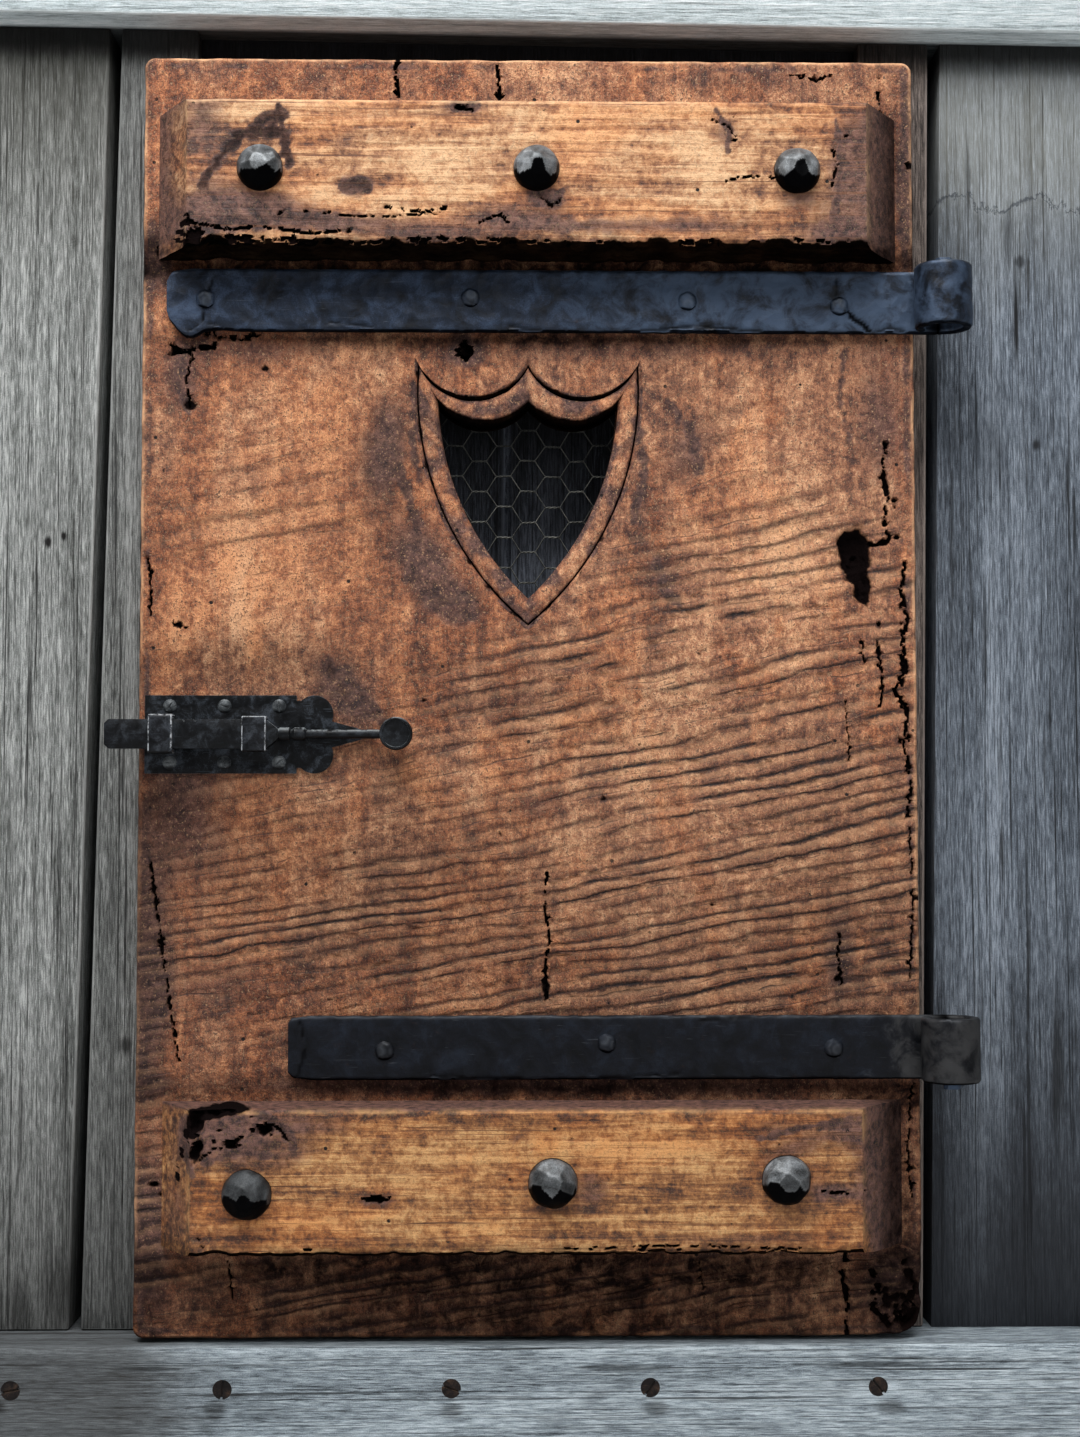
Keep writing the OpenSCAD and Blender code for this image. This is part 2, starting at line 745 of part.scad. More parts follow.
function low_stud_place(i) = [
    low_batten_x + low_batten_l * low_stud_shares[i][0],
    low_batten_z + low_batten_h * low_stud_shares[i][1]
];

// A hand-forged stud: nine-sided rows of hammer facets, each turned half a side
module stud(place, r, turn) {
    rows = [[1, 0], [0.94, 0.34], [0.72, 0.72], [0.36, 0.96], [0.12, 1]];
    sides = 9;
    color("darkslategray") union() {
        facing(place[0], batten_front, place[1]) rotate(turn) hull()
            for (i = [0 : len(rows) - 1])
                translate([0, 0, rows[i][1] * stud_h * 0.97])
                    rotate(i * 180 / sides) linear_extrude(stud_h * 0.03)
                        circle(r * rows[i][0], $fn = sides);
        facing(place[0], batten_front, place[1]) translate([0, 0, -stud_l])
            cylinder(h = stud_l + stud_h / 4, r = stud_shank_r);
    }
}

module stud_upper_left() { stud(top_stud_place(0), top_stud_r, 5); }
module stud_upper_middle() { stud(top_stud_place(1), top_stud_r, 22); }
module stud_upper_right() { stud(top_stud_place(2), top_stud_r, 14); }
module stud_lower_left() { stud(low_stud_place(0), low_stud_r, 31); }
module stud_lower_middle() { stud(low_stud_place(1), low_stud_r, 9); }
module stud_lower_right() { stud(low_stud_place(2), low_stud_r, 27); }

// A strap iron with its end rolled forward into an eye round the hinge axis
module strap(z, l, end_share) {
    left = leaf_right - l;
    flat_end = hinge_x - strap_t / 3;
    lap_t = strap_t / 8;
    difference() {
        union() {
            slab(leaf_front, strap_t) translate([0, z]) polygon(concat(
                [[flat_end, 0], [flat_end, strap_w]],
                [for (s = end_share) [left + s[0] * strap_w, s[1] * strap_w]]
            ));
            translate([hinge_x, hinge_y, z]) cylinder(h = strap_w, r = eye_r);
        }
        translate([hinge_x, hinge_y, z - over]) cylinder(h = strap_w + over * 2, r = bore_r);
        translate([hinge_x - eye_r, strap_front - lap_t, z - over])
            cube([eye_r - bore_r + lap_t, lap_t, strap_w + over * 2]);
    }
}

module upper_strap() {
    color("darkslateblue") difference() {
        strap(top_strap_z, top_strap_l, ragged_share);
        nail_shanks(top_strap_z, top_strap_l, top_nail_shares, fit);
    }
}

module lower_strap() {
    color("darkslateblue") difference() {
        strap(low_strap_z, low_strap_l, square_share);
        nail_shanks(low_strap_z, low_strap_l, low_nail_shares, fit);
    }
}

// Where a nail goes through a strap
function nail_place(z, l, share) = [leaf_right - l * share[0], z + strap_w * share[1]];

module nail_shanks(z, l, shares, gap) {
    for (share = shares) {
        place = nail_place(z, l, share);
        facing(place[0], strap_front, place[1]) translate([0, 0, -strap_t - nail_l - gap])
            cylinder(h = strap_t + nail_l + gap * 2, r = nail_shank_r + gap);
    }
}

module strap_nails(z, l, shares) {
    color("gray") union() {
        nail_shanks(z, l, shares, 0);
        for (share = shares) {
            place = nail_place(z, l, share);
            facing(place[0], strap_front, place[1]) dome(nail_r, nail_h);
        }
    }
}

module upper_strap_nails() { strap_nails(top_strap_z, top_strap_l, top_nail_shares); }
module lower_strap_nails() { strap_nails(low_strap_z, low_strap_l, low_nail_shares); }

// Outline of the bolt plate: straight part, two side lobes and a spear point
module plate_outline() {
    half_h = plate_h / 2;
    lobe_r = plate_h * 0.24;
    lobe_x = plate_l + lobe_r * 0.95;
    spear = plate_l + plate_h;
    translate([plate_x, bolt_z]) {
        translate([0, -half_h]) square([plate_l, plate_h]);
        for (side = [-1, 1])
            scale([1, side]) {
                translate([lobe_x, half_h - lobe_r]) circle(lobe_r);
                translate([plate_l - over, half_h - lobe_r * 1.7])
                    square([lobe_x - plate_l + over, lobe_r * 1.4]);
            }
        polygon([
            [plate_l - over, -lobe_r * 1.1], [lobe_x, -lobe_r * 0.95], [spear - lobe_r, -lobe_r * 0.35],
            [spear, 0],
            [spear - lobe_r, lobe_r * 0.35], [lobe_x, lobe_r * 0.95], [plate_l - over, lobe_r * 1.1]
        ]);
    }
}

module bolt_plate() {
    color("silver") difference() {
        slab(leaf_front, plate_t) plate_outline();
        plate_screw_shanks(fit);
    }
}

function plate_screw_places() = [
    for (share = plate_screw_shares) for (side = [-1, 1])
        [plate_x + plate_l * share, bolt_z + plate_screw_rise * side]
];

module plate_screw_shanks(gap) {
    for (place = plate_screw_places())
        facing(place[0], plate_front, place[1]) translate([0, 0, -plate_t - plate_screw_l - gap])
            cylinder(h = plate_t + plate_screw_l + gap * 2, r = plate_screw_shank_r + gap);
}

module bolt_plate_screws() {
    places = plate_screw_places();
    slot_w = plate_screw_r / 4;
    color("silver") difference() {
        union() {
            plate_screw_shanks(0);
            for (place = places)
                facing(place[0], plate_front, place[1]) dome(plate_screw_r, plate_screw_h);
        }
        for (i = [0 : len(places) - 1])
            facing(places[i][0], plate_front - plate_screw_h, places[i][1]) rotate(i * 55)
                cube([plate_screw_r * 2, slot_w, plate_screw_h], center = true);
    }
}

// A bridge over the sliding bar, seated on the plate
module bolt_guide(share, wall) {
    x = plate_x + plate_l * share;
    gap_h = bar_h + bar_play * 2;
    outer_h = gap_h + wall * 2;
    inner_y = bar_front - bar_play;
    outer_y = inner_y - wall;
    round_r = wall * 0.8;
    color("silver") along_x(x, guide_w) difference() {
        translate([outer_y, bolt_z - outer_h / 2]) difference() {
            square([plate_front - outer_y, outer_h]);
            corner_nib(round_r);
            translate([0, outer_h]) mirror([0, 1]) corner_nib(round_r);
        }
        translate([inner_y, bolt_z - gap_h / 2]) square([plate_front - inner_y + over, gap_h]);
    }
}

module left_bolt_guide() { bolt_guide(left_guide_share, left_guide_wall); }
module right_bolt_guide() { bolt_guide(right_guide_share, right_guide_wall); }

// Turned handle of the bolt: half section along the rod, from the shoulder on
module bolt_handle() {
    neck_l = bar_t * 0.9;
    collar_l = collar_r * 1.4;
    translate([shoulder_x, bar_y, bolt_z]) rotate([0, 90, 0]) {
        rotate_extrude() polygon([
            [0, -neck_l], [bar_t * 0.4, -neck_l], [bar_t * 0.42, neck_l / 2], [collar_r * 0.8, neck_l],
            [collar_r, neck_l], [collar_r, neck_l + collar_l],
            [rod_r, neck_l + collar_l * 1.2], [collar_r, neck_l + collar_l * 1.6],
            [collar_r, neck_l + collar_l * 2.6], [rod_r, neck_l + collar_l * 2.9],
            [rod_r, knob_out - rod_r / 2], [0, knob_out - rod_r / 2]
        ]);
    }
}

// Round knob at the end of the rod, facing the room
module bolt_knob() {
    neck_r = knob_r * 0.5;
    neck_h = rod_r * 1.6;
    facing(shoulder_x + knob_out, bar_y, bolt_z) rotate_extrude() polygon([
        [0, -rod_r * 1.4], [neck_r * 0.9, -rod_r * 1.4], [neck_r, -rod_r * 1.2], [neck_r, neck_h],
        [knob_r * 0.9, neck_h + knob_r * 0.12], [knob_r, neck_h + knob_r * 0.3],
        [knob_r, neck_h + knob_r * 0.62], [knob_r * 0.93, neck_h + knob_r * 0.72],
        [knob_r * 0.83, neck_h + knob_r * 0.72], [knob_r * 0.8, neck_h + knob_r * 0.62],
        [0, neck_h + knob_r * 0.66]
    ]);
}

module bolt_bar() {
    chamfer = bar_h / 7;
    notch = bar_h / 10;
    shoulder_l = bar_t * 0.8;
    color("lightsteelblue") union() {
        slab(bar_y + bar_t / 2, bar_t) translate([0, bolt_z]) polygon([
            [bar_tip, chamfer - bar_h / 2], [bar_tip + chamfer, -bar_h / 2], [shoulder_x, -bar_h / 2],
            [shoulder_x + shoulder_l, -collar_r * 0.75], [shoulder_x + shoulder_l, collar_r * 0.75],
            [shoulder_x, bar_h / 2],
            [bar_tip + bar_l * 0.58, bar_h / 2], [bar_tip + bar_l * 0.565, bar_h / 2 - notch],
            [bar_tip + bar_l * 0.55, bar_h / 2],
            [bar_tip + bar_l * 0.51, bar_h / 2], [bar_tip + bar_l * 0.495, bar_h / 2 - notch],
            [bar_tip + bar_l * 0.48, bar_h / 2],
            [bar_tip + chamfer, bar_h / 2], [bar_tip, bar_h / 2 - chamfer]
        ]);
        bolt_handle();
        bolt_knob();
    }
}

// One cell of the mesh, shrunk by the wire's thickness
module mesh_cell() {
    inner = 1 - wire_d / cell_h;
    slant = cell_pitch - twist_l;
    polygon(inner * [
        [-twist_l / 2, -cell_h / 2], [twist_l / 2, -cell_h / 2], [twist_l / 2 + slant, 0],
        [twist_l / 2, cell_h / 2], [-twist_l / 2, cell_h / 2], [-twist_l / 2 - slant, 0]
    ]);
}

module wire_mesh() {
    color("dimgray") slab(mesh_front + wire_d, wire_d) translate([shield_x, mesh_z]) difference() {
        square([mesh_half_w * 2, mesh_half_h * 2], center = true);
        intersection() {
            square([mesh_half_w - wire_d, mesh_half_h - wire_d] * 2, center = true);
            for (i = [-mesh_cols : mesh_cols])
                for (j = [-mesh_rows - 1 : mesh_rows + 1])
                    translate([i * cell_pitch, (j + (i % 2 == 0 ? 0 : 0.5)) * cell_h]) mesh_cell();
        }
    }
}

// Twists that the staples straddle: column and row, all on wood outside the opening
function staple_places() = concat(
    [for (i = [-mesh_cols, mesh_cols]) for (j = [-mesh_rows + 1 : 2 : mesh_rows - 1]) staple_place(i, j)],
    [for (i = [-2, 0, 2]) staple_place(i, mesh_rows - 1)]
);

function staple_place(i, j) = [
    shield_x + i * cell_pitch,
    mesh_z + (j + (i % 2 == 0 ? 0.5 : 0)) * cell_h
];

module staple_legs(gap) {
    for (place = staple_places()) for (side = [-1, 1])
        facing(place[0], mesh_front + wire_d + staple_d / 2, place[1] + side * staple_w / 2)
            cylinder(h = staple_d / 2 + wire_d + staple_l + gap, r = staple_d * 0.4 + gap, $fn = 16);
}

module mesh_staples() {
    color("gray") union() {
        staple_legs(0);
        for (place = staple_places())
            translate([place[0] - staple_d / 2, mesh_front + wire_d, place[1] - (staple_w + staple_d) / 2])
                cube([staple_d, staple_d, staple_w + staple_d]);
    }
}

head_rail();
sill_rail();
left_post();
right_post();
left_stop();
right_stop();
head_stop();
left_backing_board();
right_backing_board();
upper_pintle();
lower_pintle();
sill_screws();
door_leaf();
upper_batten();
lower_batten();
stud_upper_left();
stud_upper_middle();
stud_upper_right();
stud_lower_left();
stud_lower_middle();
stud_lower_right();
upper_strap();
lower_strap();
upper_strap_nails();
lower_strap_nails();
bolt_plate();
left_bolt_guide();
right_bolt_guide();
bolt_plate_screws();
bolt_bar();
wire_mesh();
mesh_staples();
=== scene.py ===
import json
import math

import bmesh
import bpy
import numpy as np
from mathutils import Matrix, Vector, geometry

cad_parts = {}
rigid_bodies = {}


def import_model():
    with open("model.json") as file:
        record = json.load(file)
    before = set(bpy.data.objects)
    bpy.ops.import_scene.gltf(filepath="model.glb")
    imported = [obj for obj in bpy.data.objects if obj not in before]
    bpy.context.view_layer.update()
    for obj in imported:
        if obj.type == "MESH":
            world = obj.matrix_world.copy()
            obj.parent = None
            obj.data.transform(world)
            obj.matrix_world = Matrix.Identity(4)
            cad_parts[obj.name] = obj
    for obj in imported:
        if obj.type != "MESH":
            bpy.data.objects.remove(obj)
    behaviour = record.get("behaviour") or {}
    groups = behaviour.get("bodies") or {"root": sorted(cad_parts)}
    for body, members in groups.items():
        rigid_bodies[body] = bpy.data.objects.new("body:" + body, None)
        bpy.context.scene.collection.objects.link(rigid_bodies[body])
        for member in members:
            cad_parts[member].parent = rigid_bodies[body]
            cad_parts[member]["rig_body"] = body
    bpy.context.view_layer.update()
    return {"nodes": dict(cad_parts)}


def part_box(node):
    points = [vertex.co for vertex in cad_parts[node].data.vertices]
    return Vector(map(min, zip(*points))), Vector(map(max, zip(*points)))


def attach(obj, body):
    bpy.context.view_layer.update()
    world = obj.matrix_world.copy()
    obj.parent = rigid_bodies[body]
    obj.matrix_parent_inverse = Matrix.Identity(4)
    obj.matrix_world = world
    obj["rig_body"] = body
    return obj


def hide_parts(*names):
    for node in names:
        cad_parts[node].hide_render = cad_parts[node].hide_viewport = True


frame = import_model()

NODES = frame["nodes"]
MM = 0.001

# The photograph's camera, fitted to the leaf's corners: eye, pitch up, yaw to the right, lens
EYE = np.array([-0.02099, -1.2335, 0.370])
PITCH, YAW = math.radians(2.8125), math.radians(0.999)
LENS, SENSOR = 50.0, 36.0
PHOTO_W, PHOTO_H = 1080, 1437
FOCAL = LENS / SENSOR * PHOTO_H
AHEAD = np.array([math.sin(YAW) * math.cos(PITCH), math.cos(YAW) * math.cos(PITCH), math.sin(PITCH)])
RIGHT = np.array([math.cos(YAW), -math.sin(YAW), 0.0])
UP = np.cross(RIGHT, AHEAD)
# One pixel of the photograph on the leaf's face
PX = 0.6 * MM


def seen(points):
    """Pixel of the photograph at which each point of the object is seen."""
    d = points - EYE
    depth = d @ AHEAD
    return PHOTO_W / 2 + FOCAL * (d @ RIGHT) / depth, PHOTO_H / 2 - FOCAL * (d @ UP) / depth


def at(px, py, plane_y):
    """Place (x, z) on an upright plane that a pixel of the photograph shows."""
    ray = AHEAD + RIGHT * (px - PHOTO_W / 2) / FOCAL - UP * (py - PHOTO_H / 2) / FOCAL
    hit = EYE + ray * (plane_y - EYE[1]) / ray[1]
    return hit[0], hit[2]


# Noise and paint on arrays of points


def noise(u, v, seed):
    """Smooth gradient noise, about -1 to 1, one feature per unit."""
    turn = np.random.RandomState(seed).uniform(0, 2 * np.pi, 65536)
    iu, iv = np.floor(u).astype(np.int64), np.floor(v).astype(np.int64)
    fu, fv = u - iu, v - iv
    su, sv = fu * fu * (3 - 2 * fu), fv * fv * (3 - 2 * fv)

    def corner(i, j):
        a = turn[((iu + i) & 255) * 256 + ((iv + j) & 255)]
        return np.cos(a) * (fu - i) + np.sin(a) * (fv - j)

    low = corner(0, 0) * (1 - su) + corner(1, 0) * su
    high = corner(0, 1) * (1 - su) + corner(1, 1) * su
    return (low * (1 - sv) + high * sv) * 1.5


def fbm(u, v, seed, octaves=4):
    """Noise with finer and weaker octaves added."""
    total, weight = 0.0, 1.0
    for k in range(octaves):
        total = total + weight * noise(u * 2**k, v * 2**k, seed + k)
        weight /= 2
    return total


def ease(x, low, high):
    """0 up to low, 1 from high on, smooth between; negated arguments turn it round."""
    t = np.clip((x - low) / (high - low), 0, 1)
    return t * t * (3 - 2 * t)


def blots(px, py, table):
    """Sum of soft oval marks: centre, radii, strength and, where tilted, degrees clockwise."""
    total = np.zeros_like(px)
    for cx, cy, rx, ry, strength, *tilt in table:
        turn = math.radians(sum(tilt))
        c, s = math.cos(turn), math.sin(turn)
        a = ((px - cx) * c + (py - cy) * s) / rx
        b = ((py - cy) * c - (px - cx) * s) / ry
        total += strength * np.exp(-(a * a + b * b))
    return total


def strokes(px, py, table):
    """Marks along bent lines: half width, strength, corners. 1 on the line, 0 at its half width."""
    total = np.zeros_like(px)
    for half, strength, corners in table:
        for (x0, y0), (x1, y1) in zip(corners, corners[1:]):
            near = np.nonzero(
                (px > min(x0, x1) - half) & (px < max(x0, x1) + half)
                & (py > min(y0, y1) - half) & (py < max(y0, y1) + half)
            )
            qx, qy = px[near] - x0, py[near] - y0
            length = (x1 - x0) ** 2 + (y1 - y0) ** 2
            t = np.clip((qx * (x1 - x0) + qy * (y1 - y0)) / length, 0, 1)
            d = np.hypot(qx - t * (x1 - x0), qy - t * (y1 - y0))
            wide = half * (0.3 + 0.7 * ease(noise(px[near] / 10, py[near] / 10, 17), -0.6, 0.5))
            total[near] = np.maximum(total[near], strength * (1 - ease(d, wide * 0.3, wide)))
    return total


def tears(px, py, table, run_x, run_y, seed):
    """Ragged torn places: soft ovals broken up by noise that is drawn out along the grain."""
    body = np.clip(blots(px, py, table), 0, 1)
    return ease(body + 0.55 * fbm(px / run_x, py / run_y, seed, 4), 0.72, 0.95)


# Meshes

# Points closer than this are one: in pieces made here, and in CAD meshes
WELD, CAD_WELD = 1e-6, 2e-6
# CAD faces that meet at less than the first are one face, and at more than the second have a hard edge
FLAT_ANGLE, HARD_ANGLE = math.radians(1), math.radians(25)
DRESSED_SHARP = math.radians(40)


def inside(points, loop):
    """Which points lie inside a closed loop."""
    odd = np.zeros(len(points), bool)
    x, z = points[:, 0], points[:, 1]
    for (x0, z0), (x1, z1) in zip(loop, np.roll(loop, -1, 0)):
        if z0 == z1:
            continue
        cross = (z0 > z) != (z1 > z)
        odd ^= cross & (x < x0 + (z - z0) * (x1 - x0) / (z1 - z0))
    return odd


def sheet(loops, inner):
    """Triangles inside loops[0] and outside the other loops, with the inner points as corners."""
    points, edges, owner = [], [], []
    for k, loop in enumerate(loops):
        first = len(points)
        n = len(loop)
        points += loop.tolist()
        owner += [k] * n
        edges += [(first + i, first + (i + 1) % n) for i in range(n)]
    points += inner.tolist()
    owner += [-1] * len(inner)
    out = geometry.delaunay_2d_cdt([Vector(p) for p in points], edges, [], 0, 1e-7)
    flat = np.array([(v.x, v.y) for v in out[0]])
    mark = np.array([owner[o[0]] if o else 0 for o in out[3]])
    tris = np.array(out[2])
    rim = np.nonzero((mark[tris] >= 0).all(1))[0]
    middle = flat[tris[rim]].mean(1)
    good = inside(middle, loops[0])
    for loop in loops[1:]:
        good &= ~inside(middle, loop)
    return flat, np.delete(tris, rim[~good], 0)


def lattice(low, high, step, rng):
    """Loosely regular points over a rectangle."""
    gx, gz = np.meshgrid(
        np.arange(low[0] + step / 2, high[0], step), np.arange(low[1] + step / 2, high[1], step * 0.87)
    )
    gx[1::2] += step / 2
    points = np.stack([gx.ravel(), gz.ravel()], 1)
    return points + rng.uniform(-0.22, 0.22, points.shape) * step


def ring_faces(rows, cols, first=0, closed=True):
    """Quads between rows of cols points each."""
    i = np.arange(rows - 1)[:, None] * cols
    j = np.arange(cols if closed else cols - 1)[None, :]
    k = (j + 1) % cols
    a, b, c, d = i + j, i + k, i + cols + k, i + cols + j
    return (np.stack([a, b, c, d], -1).reshape(-1, 4) + first).tolist()


def make(name, points, faces, material, body, replaced=(), paint=None, sharp=35):
    """A mesh piece of the object with its paint, one number per corner for each name."""
    mesh = bpy.data.meshes.new(name)
    mesh.from_pydata(np.asarray(points).tolist(), [], faces)
    for key, values in (paint or {}).items():
        mesh.attributes.new(key, "FLOAT", "POINT").data.foreach_set("value", np.asarray(values, np.float32))
    work = bmesh.new()
    work.from_mesh(mesh)
    bmesh.ops.remove_doubles(work, verts=work.verts, dist=WELD)
    bmesh.ops.recalc_face_normals(work, faces=work.faces)
    work.to_mesh(mesh)
    work.free()
    mesh.shade_smooth()
    mesh.set_sharp_from_angle(angle=math.radians(sharp))
    piece = bpy.data.objects.new(name, mesh)
    bpy.context.scene.collection.objects.link(piece)
    mesh.materials.append(material)
    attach(piece, body)
    if replaced:
        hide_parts(*replaced)
    return piece


def join(parts):
    """Several (points, faces) as one."""
    points, faces, first = [], [], 0
    for p, f in parts:
        points.append(np.asarray(p))
        faces += [[i + first for i in face] for face in f]
        first += len(p)
    return np.concatenate(points), faces


def dress(name, material, width):
    """A copy of a CAD node with its hard edges eased; the eased faces are marked as rubbed, for wear and a painted
    edge highlight.
    """
    source = NODES[name]
    work = bmesh.new()
    work.from_mesh(source.data)
    bmesh.ops.remove_doubles(work, verts=work.verts, dist=CAD_WELD)
    bmesh.ops.dissolve_limit(work, angle_limit=FLAT_ANGLE, verts=work.verts, edges=work.edges)
    hard = [e for e in work.edges if len(e.link_faces) == 2 and e.calc_face_angle() > HARD_ANGLE]
    rub_and_highlight = work.faces.layers.float.new("worn")
    eased = bmesh.ops.bevel(
        work, geom=hard, offset=width, segments=2, profile=0.5, affect="EDGES", clamp_overlap=True
    )
    for face in eased["faces"]:
        face[rub_and_highlight] = 1.0
    bmesh.ops.triangulate(work, faces=[f for f in work.faces if len(f.verts) > 4])
    mesh = bpy.data.meshes.new("dressed_" + name)
    work.to_mesh(mesh)
    work.free()
    mesh.shade_smooth()
    mesh.set_sharp_from_angle(angle=DRESSED_SHARP)
    piece = bpy.data.objects.new("dressed_" + name, mesh)
    bpy.context.scene.collection.objects.link(piece)
    mesh.materials.append(material)
    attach(piece, source["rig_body"])
    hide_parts(name)
    return piece


# Materials


def srgb(r, g, b):
    """Colour of the photograph, 0 to 255, as a linear colour."""
    return tuple(((c / 255 + 0.055) / 1.055) ** 2.4 if c > 10 else c / 255 / 12.92 for c in (r, g, b)) + (1.0,)


class Graph:
    """Short names for a material's nodes."""

    def __init__(self, name):
        self.material = bpy.data.materials.new(name)
        self.material.use_nodes = True
        self.tree = self.material.node_tree
        self.tree.nodes.clear()
        self.shader = self.add("BsdfPrincipled")
        self.add("OutputMaterial", Surface=self.shader.outputs[0])
        self.place = self.add("TexCoord").outputs["Object"]
        self.colour = None

    def put(self, socket, value):
        if isinstance(value, bpy.types.NodeSocket):
            self.tree.links.new(value, socket)
        else:
            socket.default_value = value

    def add(self, kind, **inputs):
        """A new node with some of its inputs set or linked; _ stands for a blank in an input's name."""
        node = self.tree.nodes.new("ShaderNode" + kind)
        for key, value in inputs.items():
            self.put(node.inputs[key.replace("_", " ")], value)
        return node

    def scaled(self, scale, turn=0.0):
        return self.add("Mapping", Vector=self.place, Scale=scale, Rotation=(0, turn, 0)).outputs[0]

    def noise(self, scale, detail=4.0, rough=0.55, warp=0.0, turn=0.0):
        place = self.scaled(scale, turn)
        node = self.add("TexNoise", Vector=place, Scale=1.0, Detail=detail, Roughness=rough, Distortion=warp)
        return node.outputs[0]

    def cells(self, scale):
        return self.add("TexVoronoi", Vector=self.scaled(scale), Scale=1.0).outputs["Distance"]

    def paint(self, name):
        """A number painted on the mesh; 0 where the piece has none of that name."""
        node = self.add("Attribute")
        node.attribute_name = name
        return node.outputs["Fac"]

    def along(self, axis):
        return self.add("SeparateXYZ", Vector=self.place).outputs["xyz".index(axis)]

    def chance(self, value):
        """A random number for each whole value."""
        node = self.add("TexWhiteNoise")
        node.noise_dimensions = "1D"
        self.put(node.inputs["W"], self.math("FLOOR", value))
        return node.outputs["Value"]

    def spot(self, x, z, wide, high, ragged):
        """1 at the middle of an oval mark on an upright face, 0 outside its ragged edge."""
        node = self.add("VectorMath")
        node.operation = "DISTANCE"
        self.put(node.inputs[0], self.scaled((1 / wide, 0, 1 / high)))
        node.inputs[1].default_value = (x / wide, 0, z / high)
        far = self.blend((node.outputs["Value"], 1.0), (ragged, 1.6))
        return self.span(far, 1.1, 1.8, 1.0, 0.0)

    def facing_up(self):
        """Height of the face's normal: 1 where it looks up, -1 where it looks down."""
        normal = self.add("NewGeometry").outputs["Normal"]
        return self.add("SeparateXYZ", Vector=normal).outputs[2]

    def underside(self):
        """1 where a face looks down, 0 where it looks sideways or up."""
        return self.span(self.facing_up(), -0.62, -0.3, 1.0, 0.0)

    def top_highlight(self):
        """1 where a face looks up, where a painted highlight goes."""
        return self.span(self.facing_up(), 0.45, 0.9)

    def math(self, operation, a, b=0.0, clamp=False):
        node = self.add("Math")
        node.operation = operation
        node.use_clamp = clamp
        self.put(node.inputs[0], a)
        self.put(node.inputs[1], b)
        return node.outputs[0]

    def times(self, a, b, clamp=False):
        return self.math("MULTIPLY", a, b, clamp)

    def most(self, a, b):
        return self.math("MAXIMUM", a, b)

    def blend(self, *pairs):
        """Weighted sum of values."""
        total = None
        for value, weight in pairs:
            part = self.times(value, weight)
            total = part if total is None else self.math("ADD", total, part)
        return total

    def span(self, value, low, high, to_low=0.0, to_high=1.0):
        """Value between low and high, spread over the new range and held there."""
        if low > high:
            low, high, to_low, to_high = high, low, to_high, to_low
        node = self.add("MapRange", Value=value, From_Min=low, From_Max=high, To_Min=to_low, To_Max=to_high)
        node.interpolation_type = "SMOOTHSTEP"
        return node.outputs[0]

    def ramp(self, value, stops):
        """Colour from (value, colour) stops."""
        node = self.add("ValToRGB")
        self.put(node.inputs[0], value)
        stop = node.color_ramp.elements
        while len(stop) < len(stops):
            stop.new(0.5)
        for element, (place, colour) in zip(stop, stops):
            element.position = place
            element.color = colour
        return node.outputs[0]

    def mix(self, share, a, b, kind="MIX"):
        node = self.add("Mix")
        node.data_type = "RGBA"
        node.blend_type = kind
        for index, value in ((0, share), (6, a), (7, b)):
            self.put(node.inputs[index], value)
        return node.outputs[2]

    def lay(self, share, colour):
        """Lay a colour over what is painted so far."""
        self.colour = self.mix(share, self.colour, colour)

    def finish(self, rough, relief, high, metal=0.0, gloss=0.5):
        """The material, with its relief that many metres high."""
        bump = self.add("Bump", Height=relief, Distance=high).outputs[0]
        for key, value in (
            ("Base Color", self.colour), ("Roughness", rough), ("Normal", bump),
            ("Metallic", metal), ("Specular IOR Level", gloss),
        ):
            self.put(self.shader.inputs[key], value)
        return self.material


IRON_SHADE = srgb(5, 5, 6)
# Ruddy places of the oiled wood are multiplied by this
RUDDY = (1.0, 0.76, 0.58, 1.0)


def grain(along, across, lengthwise):
    """Texture scale of a grain that runs along 'x' or 'z'."""
    return (lengthwise, across, across) if along == "x" else (across, across, lengthwise)


